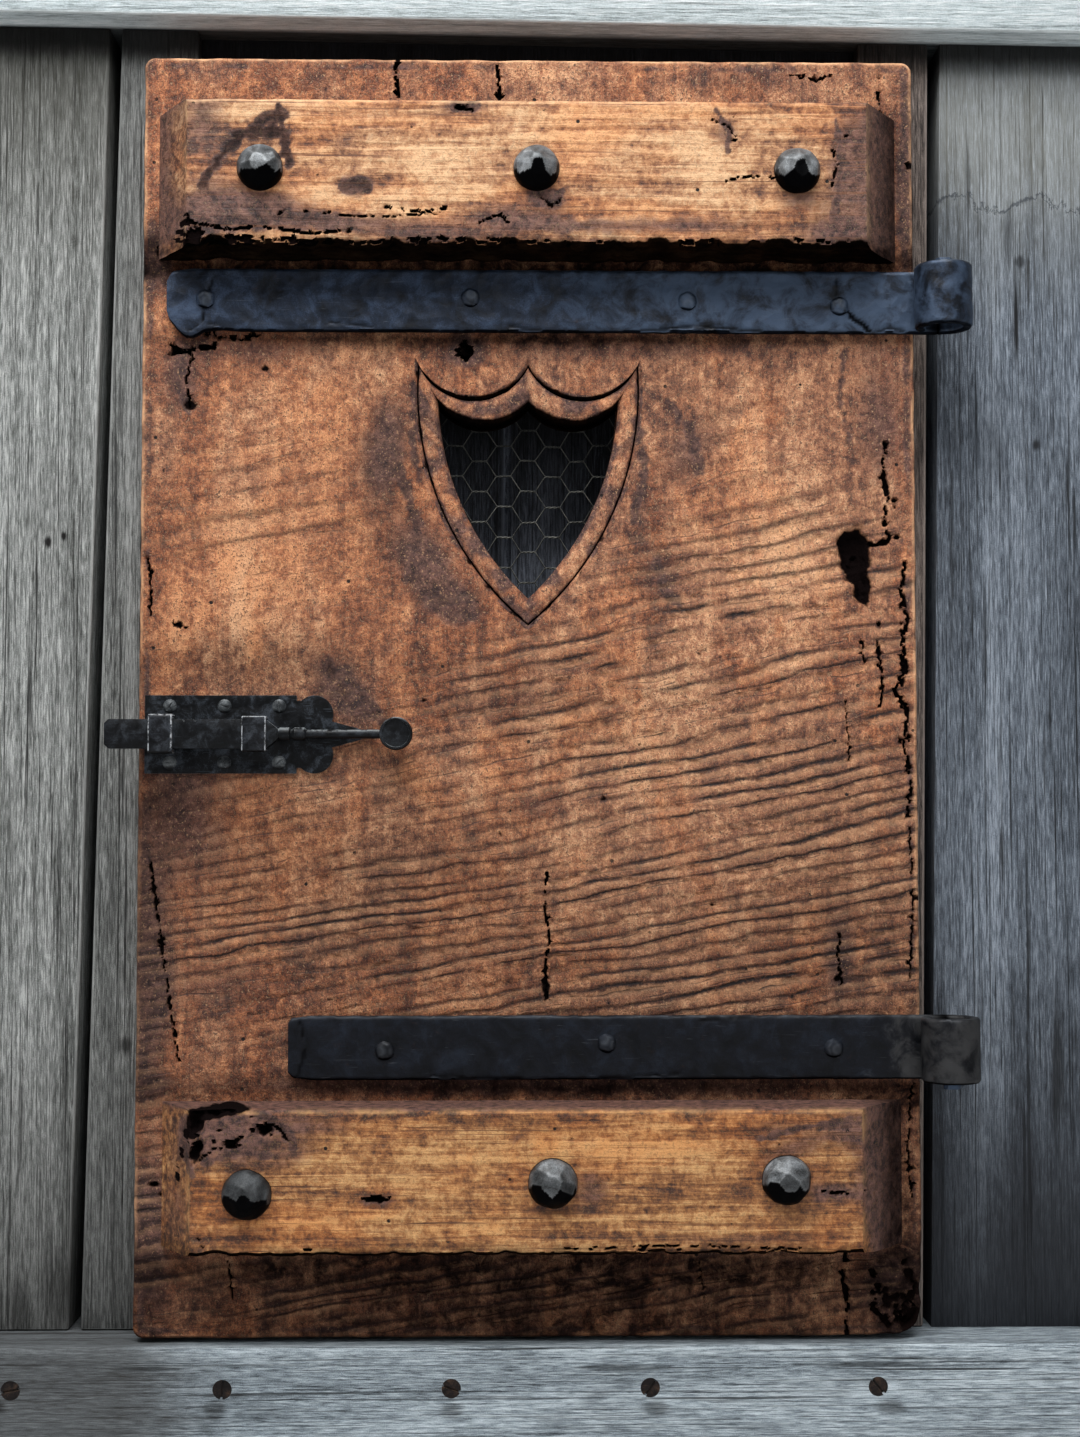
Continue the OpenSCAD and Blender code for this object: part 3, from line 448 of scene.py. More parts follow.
def stained_wood(name, colours, along, stipple=1.0, lines=0.0):
    """Oiled old softwood. Colours from dark to pale; along is the way the grain runs.

    Stipple and lines are the shares of small specks and of dark growth lines.
    """
    g = Graph(name)
    dark, brown, orange, pale = (srgb(*c) for c in colours)
    fine = g.noise(grain(along, 900, 260), 3, 0.65, 0.3)
    streak = g.noise(grain(along, 240, 11), 4, 0.62, 0.7)
    broad = g.noise(grain(along, 36, 10), 4, 0.55, 0.8)
    mottle = g.noise((85, 85, 85), 5, 0.72, 0.5)
    speck = g.noise((640, 640, 560), 3, 0.75)
    blotch = g.noise((210, 210, 190), 4, 0.7, 0.4)
    tone = g.blend(
        (broad, 0.2), (streak, 0.1 + 0.26 * lines), (mottle, 0.26), (blotch, 0.3),
        (speck, 0.55 * stipple), (fine, 0.16 * stipple), (g.paint("pale"), 0.12),
    )
    middle = 0.5 * (0.2 + 0.1 + 0.26 * lines + 0.26 + 0.3 + 0.71 * stipple)
    tone = g.math("SUBTRACT", tone, g.times(g.paint("stain"), 0.06))
    g.colour = g.ramp(tone, [
        (middle - 0.096, dark), (middle - 0.043, brown), (middle + 0.014, orange), (middle + 0.088, pale),
    ])
    # Redder places, more of them towards the leaf's left edge
    ruddy = g.noise(grain(along, 26, 12), 4, 0.62, 0.6)
    if along == "z":
        ruddy = g.math("SUBTRACT", ruddy, g.times(g.along("x"), 0.3))
    ruddy = g.span(ruddy, 0.42, 0.62, 0.0, 0.75)
    g.lay(ruddy, g.mix(1.0, g.colour, RUDDY, "MULTIPLY"))
    # Purple-brown stain, broken up by the mottling
    edge = g.blend((g.paint("stain"), 0.62), (mottle, 0.55), (blotch, 0.3))
    uneven = g.span(g.blend((blotch, 0.6), (speck, 0.4)), 0.38, 0.62)
    purple = g.mix(uneven, srgb(34, 24, 28), srgb(124, 89, 79))
    g.lay(g.span(edge, 0.58, 0.98, 0.0, 0.92), purple)
    # Pale specks, partly grain and partly painted glints; dark specks, short dark fibres and dark growth lines
    g.lay(g.span(speck, 0.34, 0.44, 0.5 * stipple, 0.0), pale)
    g.lay(g.span(speck, 0.54, 0.62, 0.0, 0.85 * stipple), srgb(58, 37, 36))
    g.lay(g.span(fine, 0.56, 0.68, 0.0, 0.55 * stipple), srgb(78, 50, 44))
    if lines:
        hair = g.noise(grain(along, 620, 9), 3, 0.6, 0.9)
        g.lay(g.span(hair, 0.56, 0.68, 0.0, 0.6 * lines), brown)
        g.lay(g.span(hair, 0.64, 0.72, 0.0, 0.7 * lines), dark)
    worm = g.times(g.span(g.cells((58, 58, 58)), 0.05, 0.075, 1.0, 0.0), g.span(mottle, 0.46, 0.5))
    g.lay(worm, srgb(22, 15, 14))
    # Ripples: each is a ledge with a painted highlight on top, painted shade growing towards its lip and a painted
    # black shadow under it; finer ones between
    runs = g.span(g.noise((15, 15, 62), 3, 0.6), 0.36, 0.58)
    count = g.blend((g.paint("phase"), 1.0), (blotch, 0.35))
    wave = g.math("FRACT", count)
    strong = g.times(g.times(g.paint("ripple"), runs), g.span(g.chance(count), 0.0, 1.0, 0.5, 1.0))
    fine_count = g.blend((g.paint("phase"), 2.7), (g.noise((40, 40, 60), 2, 0.5), 1.3))
    fine_wave = g.math("FRACT", fine_count)
    fine_runs = g.span(g.noise((34, 34, 130), 3, 0.6), 0.44, 0.6)
    fine_runs = g.times(fine_runs, g.span(g.chance(fine_count), 0.2, 1.0))
    weak = g.times(g.math("MINIMUM", g.times(g.paint("ripple"), 2.2), 1.0), fine_runs)
    lip = g.most(g.span(wave, 0.0, 0.28, 1.0, 0.0), g.span(wave, 0.80, 1.0, 0.0, 1.0))
    line = g.most(g.times(lip, strong), g.times(g.span(fine_wave, 0.0, 0.36, 0.72, 0.0), weak))
    line = g.times(line, g.span(blotch, 0.34, 0.54, 0.5, 1.0))
    slope = g.times(g.span(wave, 0.45, 1.0, 0.0, 1.0), strong)
    g.lay(g.times(slope, 0.5), dark)
    top = g.times(g.span(wave, 0.12, 0.24), g.span(wave, 0.3, 0.7, 1.0, 0.0))
    g.lay(g.times(g.times(top, strong), 0.42), pale)
    g.lay(g.times(line, 1.3, True), srgb(25, 15, 15))
    # Worn edges, partly wear and partly painted highlight; then cracks and rot, darkened by rot and painted shade;
    # damp with painted shade; and painted black shade on undersides. The ledges of the ripples aren't undersides
    worn = g.times(g.paint("worn"), g.span(mottle, 0.35, 0.6, 0.35, 1.0), True)
    g.lay(worn, pale)
    rot = g.span(g.blend((g.paint("pits_and_shade"), 1.0), (speck, 0.4)), 0.42, 0.72)
    g.lay(rot, srgb(17, 12, 12))
    damp_and_shade = g.times(g.paint("damp_and_shade"), g.span(mottle, 0.3, 0.7, 1.15, 0.8))
    g.lay(g.times(damp_and_shade, 0.9, True), srgb(20, 13, 12))
    flat = g.span(g.paint("ripple"), 0.02, 0.2, 1.0, 0.0)
    under = g.times(g.underside(), flat)
    g.lay(g.times(under, 0.98), srgb(3, 3, 3))
    relief = g.blend(
        (fine, 0.6 * stipple), (streak, 0.7), (speck, 0.9 * stipple), (blotch, 0.8),
        (line, -1.0), (rot, -0.8), (worm, -1.0),
    )
    shut = g.most(g.most(under, rot), g.times(damp_and_shade, 0.8))
    gloss = g.span(shut, 0.0, 1.0, 0.34, 0.0)
    return g.finish(g.span(mottle, 0.3, 0.7, 0.55, 0.8), relief, 1.2 * MM, gloss=gloss)


def grey_wood(name, colours, along, cracks=1.0, shades=(), spots=(), shaded_to=None, bare_to=None, tide=None):
    """Bare weathered board: silver ridges, dark furrows, long fine cracks.

    Shades: axis, from, to, colour, share; some are painted shade and painted shadow. They end at the
    depth shaded_to. The underside gets painted black shade from the depth bare_to on. In pixels of the
    photograph, on the frame's front: spots, each with its centre, half width, half height and share, and
    tide, a dried water line through a point, with the half width and height of its waves.
    """
    g = Graph(name)
    dark, mid, light = (srgb(*c) for c in colours)
    fine = g.noise(grain(along, 950, 75), 4, 0.72, 0.35)
    streak = g.noise(grain(along, 320, 11), 5, 0.7, 0.7)
    broad = g.noise(grain(along, 30, 1.4), 3, 0.5, 1.1)
    mottle = g.noise(grain(along, 110, 60), 5, 0.75, 0.3)
    grit = g.noise((1500, 1500, 1500), 2, 0.7)
    tone = g.blend((fine, 0.4), (streak, 0.17), (broad, 0.2), (mottle, 0.08), (grit, 0.15))
    spread = 0.095 * 0.85
    g.colour = g.ramp(tone, [(0.5 - spread, dark), (0.5, mid), (0.5 + spread, light)])
    furrow = g.span(g.noise(grain(along, 420, 4), 3, 0.66, 0.9), 0.615, 0.66, 0.0, 0.85 * cracks)
    g.lay(furrow, srgb(34, 34, 34))
    hair = g.span(g.noise(grain(along, 1300, 11), 2, 0.6, 0.4), 0.585, 0.65, 0.0, 0.6 * cracks)
    g.lay(hair, srgb(48, 48, 47))
    gleam = g.span(g.noise(grain(along, 1100, 22), 2, 0.6, 0.4), 0.6, 0.68, 0.0, 0.25)
    g.lay(gleam, light)
    stain = g.span(g.noise(grain(along, 34, 9), 4, 0.65, 0.6), 0.56, 0.7, 0.0, 0.4)
    g.lay(stain, dark)
    # Eased edges paler: wear and a painted edge highlight
    g.lay(g.times(g.paint("worn"), 0.5), light)
    for axis, low, high, shade, share in shades:
        run = abs(high - low)
        place = g.blend((g.along(axis), 1.0), (mottle, 0.3 * run), (broad, 0.6 * run))
        share = g.span(place, low + 0.45 * run, high + 0.45 * run, 0.0, share)
        if shaded_to is not None:
            share = g.times(share, g.span(g.along("y"), shaded_to, shaded_to + 3 * MM, 1.0, 0.0))
        g.lay(share, srgb(*shade))
    for px, py, wide, high, share in spots:
        mark = g.spot(*at(px, py, 0.0), wide * PX, high * PX, streak)
        g.lay(g.times(mark, share), srgb(20, 19, 18))
    if tide:
        px, py, wide, high = tide
        (x, z), wide, high = at(px, py, 0.0), wide * PX, high * PX
        swing = g.math("PINGPONG", g.blend((g.along("x"), 1.0), (mottle, 0.03), (1.0, -x)), wide)
        level = g.blend((g.along("z"), 1.0), (swing, -high / wide), (mottle, 0.03), (1.0, -z - 0.015))
        line = g.span(g.math("ABSOLUTE", level), 0.2 * MM, 1.8 * MM, 0.75, 0.0)
        g.lay(line, dark)
        g.lay(g.span(level, -9 * MM, 0.0, 0.22, 0.0), dark)
    # Painted black shade on undersides; bare in front of bare_to when that is given
    under = g.underside()
    if bare_to is not None:
        under = g.times(under, g.span(g.along("y"), bare_to - 5 * MM, bare_to + 3 * MM))
    g.lay(g.times(under, 0.9), srgb(12, 12, 12))
    relief = g.blend((fine, 0.8), (streak, 1.0), (furrow, -1.5), (hair, -0.6), (grit, 0.15))
    gloss = g.span(under, 0.0, 1.0, 0.22, 0.0)
    return g.finish(g.span(mottle, 0.3, 0.7, 0.72, 0.9), relief, 0.9 * MM, gloss=gloss)


def forged_iron(name, colours, rust=0.25, metal=0.45, gloss=0.4, bright=None):
    """Blue-black hammered iron with rubbed edges and a little rust, with painted highlights, a painted
    sheen and painted black shade.

    Colours: dark, middle, light, rubbed and highlit. Bright: a painted sheen from x to x, its colour and share.
    """
    g = Graph(name)
    dark, mid, light, rub_and_highlight = (srgb(*c) for c in colours)
    cloud = g.noise((60, 60, 60), 5, 0.65, 0.5)
    grit = g.noise((1300, 1300, 1300), 3, 0.6)
    dents = g.cells((130, 130, 130))
    tone = g.blend((cloud, 0.75), (grit, 0.25))
    g.colour = g.ramp(tone, [(0.38, dark), (0.50, mid), (0.64, light)])
    # A painted sheen along x, broken up by the cloud
    if bright:
        low, high, shine, share = bright
        place = g.blend((g.along("x"), 1.0), (cloud, 0.1))
        patch = g.span(place, low + 0.05, high + 0.05, 0.0, share)
        patch = g.times(patch, g.span(cloud, 0.34, 0.6))
        g.lay(patch, srgb(*shine))
    brown = g.span(g.noise((160, 160, 160), 5, 0.75), 0.60, 0.74, 0.0, rust)
    g.lay(brown, srgb(74, 52, 42))
    scratch = g.span(g.noise((60, 700, 1300), 2, 0.5, 0.8, 0.5), 0.68, 0.76, 0.0, 0.35)
    g.lay(scratch, rub_and_highlight)
    # Rubbed edges: wear and a painted edge highlight
    g.lay(g.times(g.paint("worn"), 0.75, True), rub_and_highlight)
    # Painted shade where the pits channel is painted, and painted black shade on undersides
    g.lay(g.times(g.paint("pits_and_shade"), 0.97, True), IRON_SHADE)
    shut = g.most(g.underside(), g.paint("pits_and_shade"))
    g.lay(g.times(shut, 0.9, True), IRON_SHADE)
    relief = g.blend((dents, 0.9), (grit, 0.12), (cloud, 0.5))
    gloss = g.span(shut, 0.0, 1.0, gloss, 0.0)
    return g.finish(g.span(cloud, 0.3, 0.7, 0.4, 0.6), relief, 0.7 * MM, metal, gloss)


def dull_metal(name, colours, metal=0.3, gloss=0.2):
    """Thin pressed steel or wire gone dull, with bright rubs and painted highlights on its edges, a painted highlight
    on what looks up and painted black shade below.
    """
    g = Graph(name)
    dark, mid, light, rub_and_highlight = (srgb(*c) for c in colours)
    cloud = g.noise((120, 120, 120), 5, 0.65, 0.5)
    grit = g.noise((2200, 2200, 2200), 3, 0.6)
    tone = g.blend((cloud, 0.7), (grit, 0.3))
    g.colour = g.ramp(tone, [(0.38, dark), (0.50, mid), (0.66, light)])
    scratch = g.span(g.noise((90, 1500, 1500), 2, 0.5), 0.66, 0.74, 0.0, 0.5)
    g.lay(scratch, light)
    patchy = g.span(g.noise((260, 260, 260), 4, 0.7), 0.38, 0.56)
    # Rubbed edges: wear and a painted edge highlight; then a painted highlight on faces that look up
    g.lay(g.times(g.times(g.paint("worn"), patchy), 0.85, True), rub_and_highlight)
    g.lay(g.times(g.times(g.top_highlight(), patchy), 0.75), rub_and_highlight)
    # Painted black shade on undersides and where the pits channel is painted
    shut = g.most(g.underside(), g.paint("pits_and_shade"))
    g.lay(g.times(shut, 0.9, True), IRON_SHADE)
    relief = g.blend((grit, 0.4), (cloud, 1.0))
    return g.finish(g.span(cloud, 0.3, 0.7, 0.36, 0.6), relief, 0.25 * MM, metal, gloss)


# Knots, cracks and dirt on the frame's front: centre, half width and half height in pixels of the
# photograph, share
LEFT_SPOTS = [
    (48, 542, 7, 9, 1.0), (64, 536, 5, 7, 1.0), (30, 700, 3, 60, 0.8), (20, 1130, 5, 90, 0.5),
    (58, 1290, 22, 60, 0.55), (18, 1310, 16, 46, 0.5), (60, 860, 3, 90, 0.6),
]
RIGHT_SPOTS = [
    (1016, 320, 4, 60, 1.0), (1020, 262, 9, 9, 0.8), (1036, 445, 5, 9, 0.9), (985, 640, 3, 90, 0.6),
    (952, 560, 4, 160, 0.5), (1058, 1070, 10, 90, 0.8), (1000, 760, 3, 70, 0.5), (968, 180, 4, 60, 0.5),
    (1008, 235, 6, 50, 0.5),
]
STOP_SPOTS = [(125, 1045, 9, 14, 0.8), (120, 400, 3, 60, 0.5), (112, 900, 3, 80, 0.5)]
HEAD_SPOTS = [(1036, 10, 5, 4, 0.9), (700, 18, 60, 2, 0.4), (250, 14, 90, 2, 0.4)]
SILL_SPOTS = [
    (12, 1388, 14, 10, 0.7), (224, 1389, 16, 11, 0.6), (453, 1391, 18, 11, 0.6), (652, 1389, 18, 10, 0.6),
    (879, 1388, 18, 10, 0.6), (620, 1350, 60, 6, 0.6), (860, 1346, 90, 4, 0.6), (160, 1350, 50, 4, 0.6),
]
# A dried water line on the right post: a point of it, half width and height of its waves, in pixels
RIGHT_TIDE = (937, 214, 44, 22)
# The shade under the head rail
HEAD_SHADE = (6, 6, 6)
ORANGE = stained_wood("orange_leaf", [(60, 38, 35), (118, 75, 57), (178, 119, 86), (236, 182, 138)], "z")
AMBER = stained_wood("amber_batten", [(70, 44, 36), (134, 88, 60), (186, 136, 96), (228, 184, 140)], "x", 0.4, 1.0)
GOLD = stained_wood("golden_batten", [(56, 35, 28), (110, 70, 43), (161, 109, 65), (209, 161, 107)], "x", 0.4, 1.0)
# Left post: painted shade towards the bottom, darker towards the top, painted shadow under the head rail
LEFT_GREY = grey_wood(
    "left_grey", [(56, 57, 54), (122, 125, 123), (186, 188, 186)], "z",
    shades=[
        ("z", 0.30, 0.08, (56, 56, 54), 0.6), ("z", 0.66, 0.88, (62, 61, 54), 0.78),
        ("z", 0.838, 0.856, HEAD_SHADE, 0.92),
    ],
    spots=LEFT_SPOTS,
)
# Right post: painted shade towards the bottom, greyer towards the top, painted shadow under the head rail
RIGHT_GREY = grey_wood(
    "right_grey", [(50, 55, 62), (106, 115, 126), (162, 172, 184)], "z",
    shades=[
        ("z", 0.34, 0.08, (30, 31, 34), 0.92), ("z", 0.66, 0.8, (144, 145, 138), 0.55),
        ("z", 0.832, 0.850, HEAD_SHADE, 0.92),
    ],
    spots=RIGHT_SPOTS, tide=RIGHT_TIDE,
)
# Left stop: painted shade towards the bottom, darker towards the top, painted shadow under the head rail
STOP_GREY = grey_wood(
    "stop_grey", [(50, 51, 50), (104, 106, 104), (156, 158, 156)], "z",
    shades=[
        ("z", 0.30, 0.08, (46, 46, 46), 0.45), ("z", 0.66, 0.9, (60, 61, 60), 0.4),
        ("z", 0.836, 0.854, HEAD_SHADE, 0.92),
    ],
    spots=STOP_SPOTS,
)
# Right stop: painted shadow under the head rail
STRIP_GREY = grey_wood(
    "strip_grey", [(50, 45, 43), (112, 101, 95), (160, 148, 140)], "z", shades=[("z", 0.832, 0.850, HEAD_SHADE, 0.92)]
)
# Head rail: painted black shade on its underside behind its front
HEAD_PALE = grey_wood(
    "head_pale", [(140, 150, 152), (196, 208, 211), (230, 236, 237)], "x", 0.4, spots=HEAD_SPOTS, bare_to=0.0
)
SILL_PALE = grey_wood(
    "sill_pale", [(60, 66, 71), (145, 157, 165), (202, 213, 219)], "x", 0.9,
    shades=[("x", -0.17, -0.25, (62, 60, 58), 0.8)], spots=SILL_SPOTS,
)
# Backing boards and head stop: dark greys, partly standing in for the shade of the niche, with painted black shade
# higher up on their fronts
SHADE_WOOD = grey_wood(
    "shade_wood", [(30, 31, 35), (74, 78, 87), (124, 130, 142)], "z",
    shades=[("z", 0.52, 0.64, (5, 5, 6), 0.93)], shaded_to=46 * MM,
)
# Upper strap, its nails and the pintles, with a painted bluish sheen on the right part
IRON = forged_iron(
    "strap_iron", [(14, 19, 27), (29, 39, 55), (56, 71, 94), (100, 108, 118)], bright=(0.0, 0.09, (66, 82, 104), 0.75)
)
# Lower strap and its nails: a darker, painted shaded copy of the strap iron, with a small grey painted sheen
SHADED_IRON = forged_iron(
    "shaded_strap_iron", [(6, 8, 12), (14, 17, 24), (26, 32, 42), (84, 88, 94)], 0.15, 0.3, 0.2,
    bright=(0.2, 0.225, (58, 58, 58), 0.75),
)
STUD_IRON = forged_iron(
    "stud_iron", [(48, 50, 51), (112, 116, 119), (174, 179, 183), (212, 216, 218)], 0.35, 0.4, 0.5
)
PLATE_STEEL = dull_metal("plate_steel", [(5, 6, 7), (15, 17, 20), (64, 70, 78), (130, 136, 142)], 0.2, 0.15)
GUIDE_STEEL = dull_metal("guide_steel", [(10, 11, 13), (26, 28, 32), (66, 71, 78), (190, 195, 200)])
BAR_STEEL = dull_metal("bar_steel", [(6, 7, 8), (17, 19, 22), (52, 57, 63), (146, 152, 154)])
SCREW_STEEL = dull_metal("screw_steel", [(26, 28, 30), (62, 66, 69), (112, 116, 118), (150, 154, 156)])
RUSTY_STEEL = dull_metal("rusty_steel", [(14, 12, 12), (30, 25, 24), (84, 64, 50), (110, 92, 76)])
WIRE_STEEL = dull_metal("wire_steel", [(36, 36, 35), (78, 79, 75), (118, 118, 112), (130, 130, 124)], 0.2)


# Leaf

leaf_low, leaf_high = (np.array(p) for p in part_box("door_leaf"))
LEAF_FACE, LEAF_BACK = leaf_low[1], leaf_high[1]
LEAF_ARRIS, BACK_ARRIS = 2.6 * MM, 0.9 * MM
CORNER_R, ROTTEN_R = 7 * MM, 15 * MM
# Distances between the corners of the leaf's mesh: outline, face, back
LOOP_STEP, FACE_STEP, BACK_STEP = 2.2 * MM, 2.35 * MM, 12 * MM
# Depths of cracks, of the knot hole and what has rotted, of pits and of ripples in the leaf
CRACK_D, HOLE_D, PIT_D, RIPPLE_D = 4.5 * MM, 8 * MM, 1.5 * MM, 1.7 * MM

# Carved shield, as in the part: opening, bowed sides, scallops, moulding, groove
SHIELD_X = (leaf_low[0] + leaf_high[0]) / 2 - 0.7 * MM
SHIELD_Z = leaf_high[2] - 332 * MM
SHIELD_W, SHIELD_H, SHIELD_SIDE_R, SCALLOP_D = 110 * MM, 120 * MM, 174 * MM, 13 * MM
MOULD_W, MOULD_H, CROWN_SINK = 12 * MM, 4.5 * MM, 0.6 * MM
GROOVE_W, GROOVE_D = 3.0 * MM, 2.9 * MM
HORN_SHARE, SCALLOP_SHARE = 1.8, 0.65
SIDE_STEPS, SCALLOP_STEPS = 90, 36


def shield_loop(grown):
    """Outline of the shield opening grown by a distance, from the tip up and round."""
    r = SHIELD_SIDE_R + grown
    centre_x = SHIELD_SIDE_R - SHIELD_W / 2
    centre_z = math.sqrt(SHIELD_SIDE_R**2 - centre_x**2)
    top = SHIELD_H + grown * HORN_SHARE
    deep = SCALLOP_D + grown * SCALLOP_SHARE
    a = np.linspace(-math.acos(centre_x / r), math.asin((top - centre_z) / r), SIDE_STEPS + 1)
    side = np.stack([r * np.cos(a) - centre_x, centre_z + r * np.sin(a)], 1)
    chord = side[-1, 0] / 2
    bow = (chord**2 + deep**2) / (2 * deep)
    t = np.linspace(math.asin(chord / bow), -math.asin(chord / bow), SCALLOP_STEPS + 1)[1:]
    scallop = np.stack([chord + bow * np.sin(t), top - deep + bow - bow * np.cos(t)], 1)
    half = np.concatenate([side, scallop])
    other = half[-2:0:-1] * [-1, 1]
    return np.concatenate([half, other]) + [SHIELD_X, SHIELD_Z]


def round_outline(low, high, radii, step):
    """Rectangle with rounded corners, bottom left first and anticlockwise, as a loop and its normals."""
    loop, normals = [], []
    corners = [(low[0], low[1]), (high[0], low[1]), (high[0], high[1]), (low[0], high[1])]
    centres = []
    for (x, z), r in zip(corners, radii):
        centres.append((x + (r if x == low[0] else -r), z + (r if z == low[1] else -r)))
    for k, (start, r) in enumerate(zip((180, 270, 0, 90), radii)):
        cx, cz = centres[k]
        for a in np.radians(np.linspace(start, start + 90, 9)):
            loop.append((cx + r * math.cos(a), cz + r * math.sin(a)))
            normals.append((math.cos(a), math.sin(a)))
        nx, nz = centres[(k + 1) % 4]
        r2 = radii[(k + 1) % 4]
        a = math.radians(start + 90)
        end = (nx + r2 * math.cos(a), nz + r2 * math.sin(a))
        n = int(math.hypot(end[0] - loop[-1][0], end[1] - loop[-1][1]) / step)
        begin = loop[-1]
        for i in range(1, n):
            loop.append((begin[0] + (end[0] - begin[0]) * i / n, begin[1] + (end[1] - begin[1]) * i / n))
            normals.append((math.cos(a), math.sin(a)))
    return np.array(loop), np.array(normals)


# Marks on the leaf, in pixels of the photograph
# Soft dark stains: centre, radii, strength, tilt
LEAF_STAINS = [
    (385, 450, 26, 60, 1, 12), (425, 560, 34, 46, 0.95, -30), (455, 605, 30, 22, 0.9, 20),
    (690, 450, 30, 50, 0.7, 25), (665, 580, 26, 30, 0.65), (640, 505, 14, 60, 0.45),
    (540, 805, 40, 20, 0.6, -10), (520, 700, 70, 26, 0.45, -12), (345, 690, 22, 40, 1.1, -38),
    (180, 800, 40, 90, 0.55), (150, 980, 22, 150, 0.9), (215, 860, 40, 60, 0.35), (255, 350, 80, 18, 0.6),
    (180, 380, 24, 40, 0.8), (640, 350, 220, 16, 0.55), (465, 350, 16, 16, 1.3), (880, 420, 30, 80, 0.75),
    (905, 600, 16, 200, 0.2), (860, 720, 40, 90, 0.25), (840, 960, 18, 60, 0.8), (690, 860, 120, 30, 0.3, -10),
    (430, 960, 180, 26, 0.35, -8), (300, 75, 110, 10, 0.35), (760, 78, 120, 12, 0.45), (220, 985, 60, 40, 0.45),
    (530, 1085, 380, 12, 0.9), (150, 1240, 20, 80, 1), (895, 1290, 34, 44, 1.2), (160, 260, 14, 40, 1.1),
    (905, 190, 12, 90, 1.1), (400, 1300, 260, 50, 0.3), (240, 740, 130, 60, 0.3), (320, 600, 60, 60, 0.25),
]
# Pale patches
LEAF_PALES = [
    (290, 450, 110, 110, 0.3), (250, 590, 110, 60, 0.5), (760, 440, 70, 70, 0.4), (790, 560, 60, 60, 0.45),
    (640, 690, 120, 60, 0.4, -10), (300, 820, 90, 50, 0.25, -10), (560, 930, 160, 40, 0.2, -8),
    (560, 72, 90, 9, 0.4), (200, 640, 70, 30, 0.3), (880, 500, 20, 60, 0.25), (640, 800, 130, 60, 0.2, -10),
]
# Shade and damp that darken large parts
LEAF_SHADE_AND_DAMP = [
    (530, 1322, 560, 60, 0.98), (530, 1266, 440, 22, 0.9), (530, 263, 430, 17, 2), (135, 1040, 34, 420, 0.35),
    (560, 1090, 430, 16, 0.8), (560, 980, 460, 130, 0.4), (905, 1290, 34, 60, 0.4), (884, 170, 26, 80, 0.45),
    (530, 340, 400, 12, 1), (170, 800, 90, 40, 0.4), (240, 662, 130, 34, 0.5), (300, 850, 240, 90, 0.36),
    (560, 700, 160, 70, 0.26), (850, 880, 110, 140, 0.24), (152, 252, 14, 30, 0.9), (270, 520, 180, 150, 0.1),
    (385, 480, 40, 90, 0.2), (905, 1180, 24, 100, 0.85), (884, 1098, 50, 14, 0.8),
]
# Smeared dark stain along bent lines: half width, strength, corners
LEAF_SMEARS = [
    (7, 1.1, [(328, 662), (336, 684), (352, 704), (384, 722)]), (5, 0.9, [(346, 668), (356, 690), (380, 712)]),
    (12, 0.9, [(412, 575), (438, 600), (470, 612)]), (9, 0.8, [(398, 470), (412, 500), (418, 540)]),
    (6, 0.8, [(188, 350), (178, 380), (188, 412)]), (8, 0.7, [(668, 400), (690, 430), (700, 470)]),
    (7, 0.7, [(640, 430), (645, 480), (632, 520)]), (6, 0.7, [(415, 380), (412, 440), (420, 480)]),
    (5, 0.8, [(845, 350), (840, 400), (850, 440)]), (9, 0.6, [(655, 560), (665, 590), (680, 604)]),
]
# Torn and rotten places, broken up along the upright grain
LEAF_TEARS = [
    (893, 500, 8, 70, 0.56), (903, 640, 8, 110, 0.6), (908, 760, 7, 60, 0.55), (912, 950, 4, 120, 0.4),
    (888, 1300, 28, 30, 0.72), (160, 960, 7, 90, 0.45, 4), (150, 590, 5, 40, 0.5), (155, 1180, 14, 70, 0.55),
    (150, 1290, 10, 40, 0.4), (844, 1292, 6, 46, 0.5), (840, 960, 6, 34, 0.5), (160, 250, 16, 20, 0.7),
    (880, 130, 14, 60, 0.5), (910, 160, 6, 80, 0.5), (190, 352, 34, 8, 0.55), (830, 76, 60, 6, 0.4),
    (520, 1341, 380, 5, 0.5), (880, 660, 14, 60, 0.4), (465, 350, 14, 12, 0.5), (856, 560, 12, 34, 0.6),
]
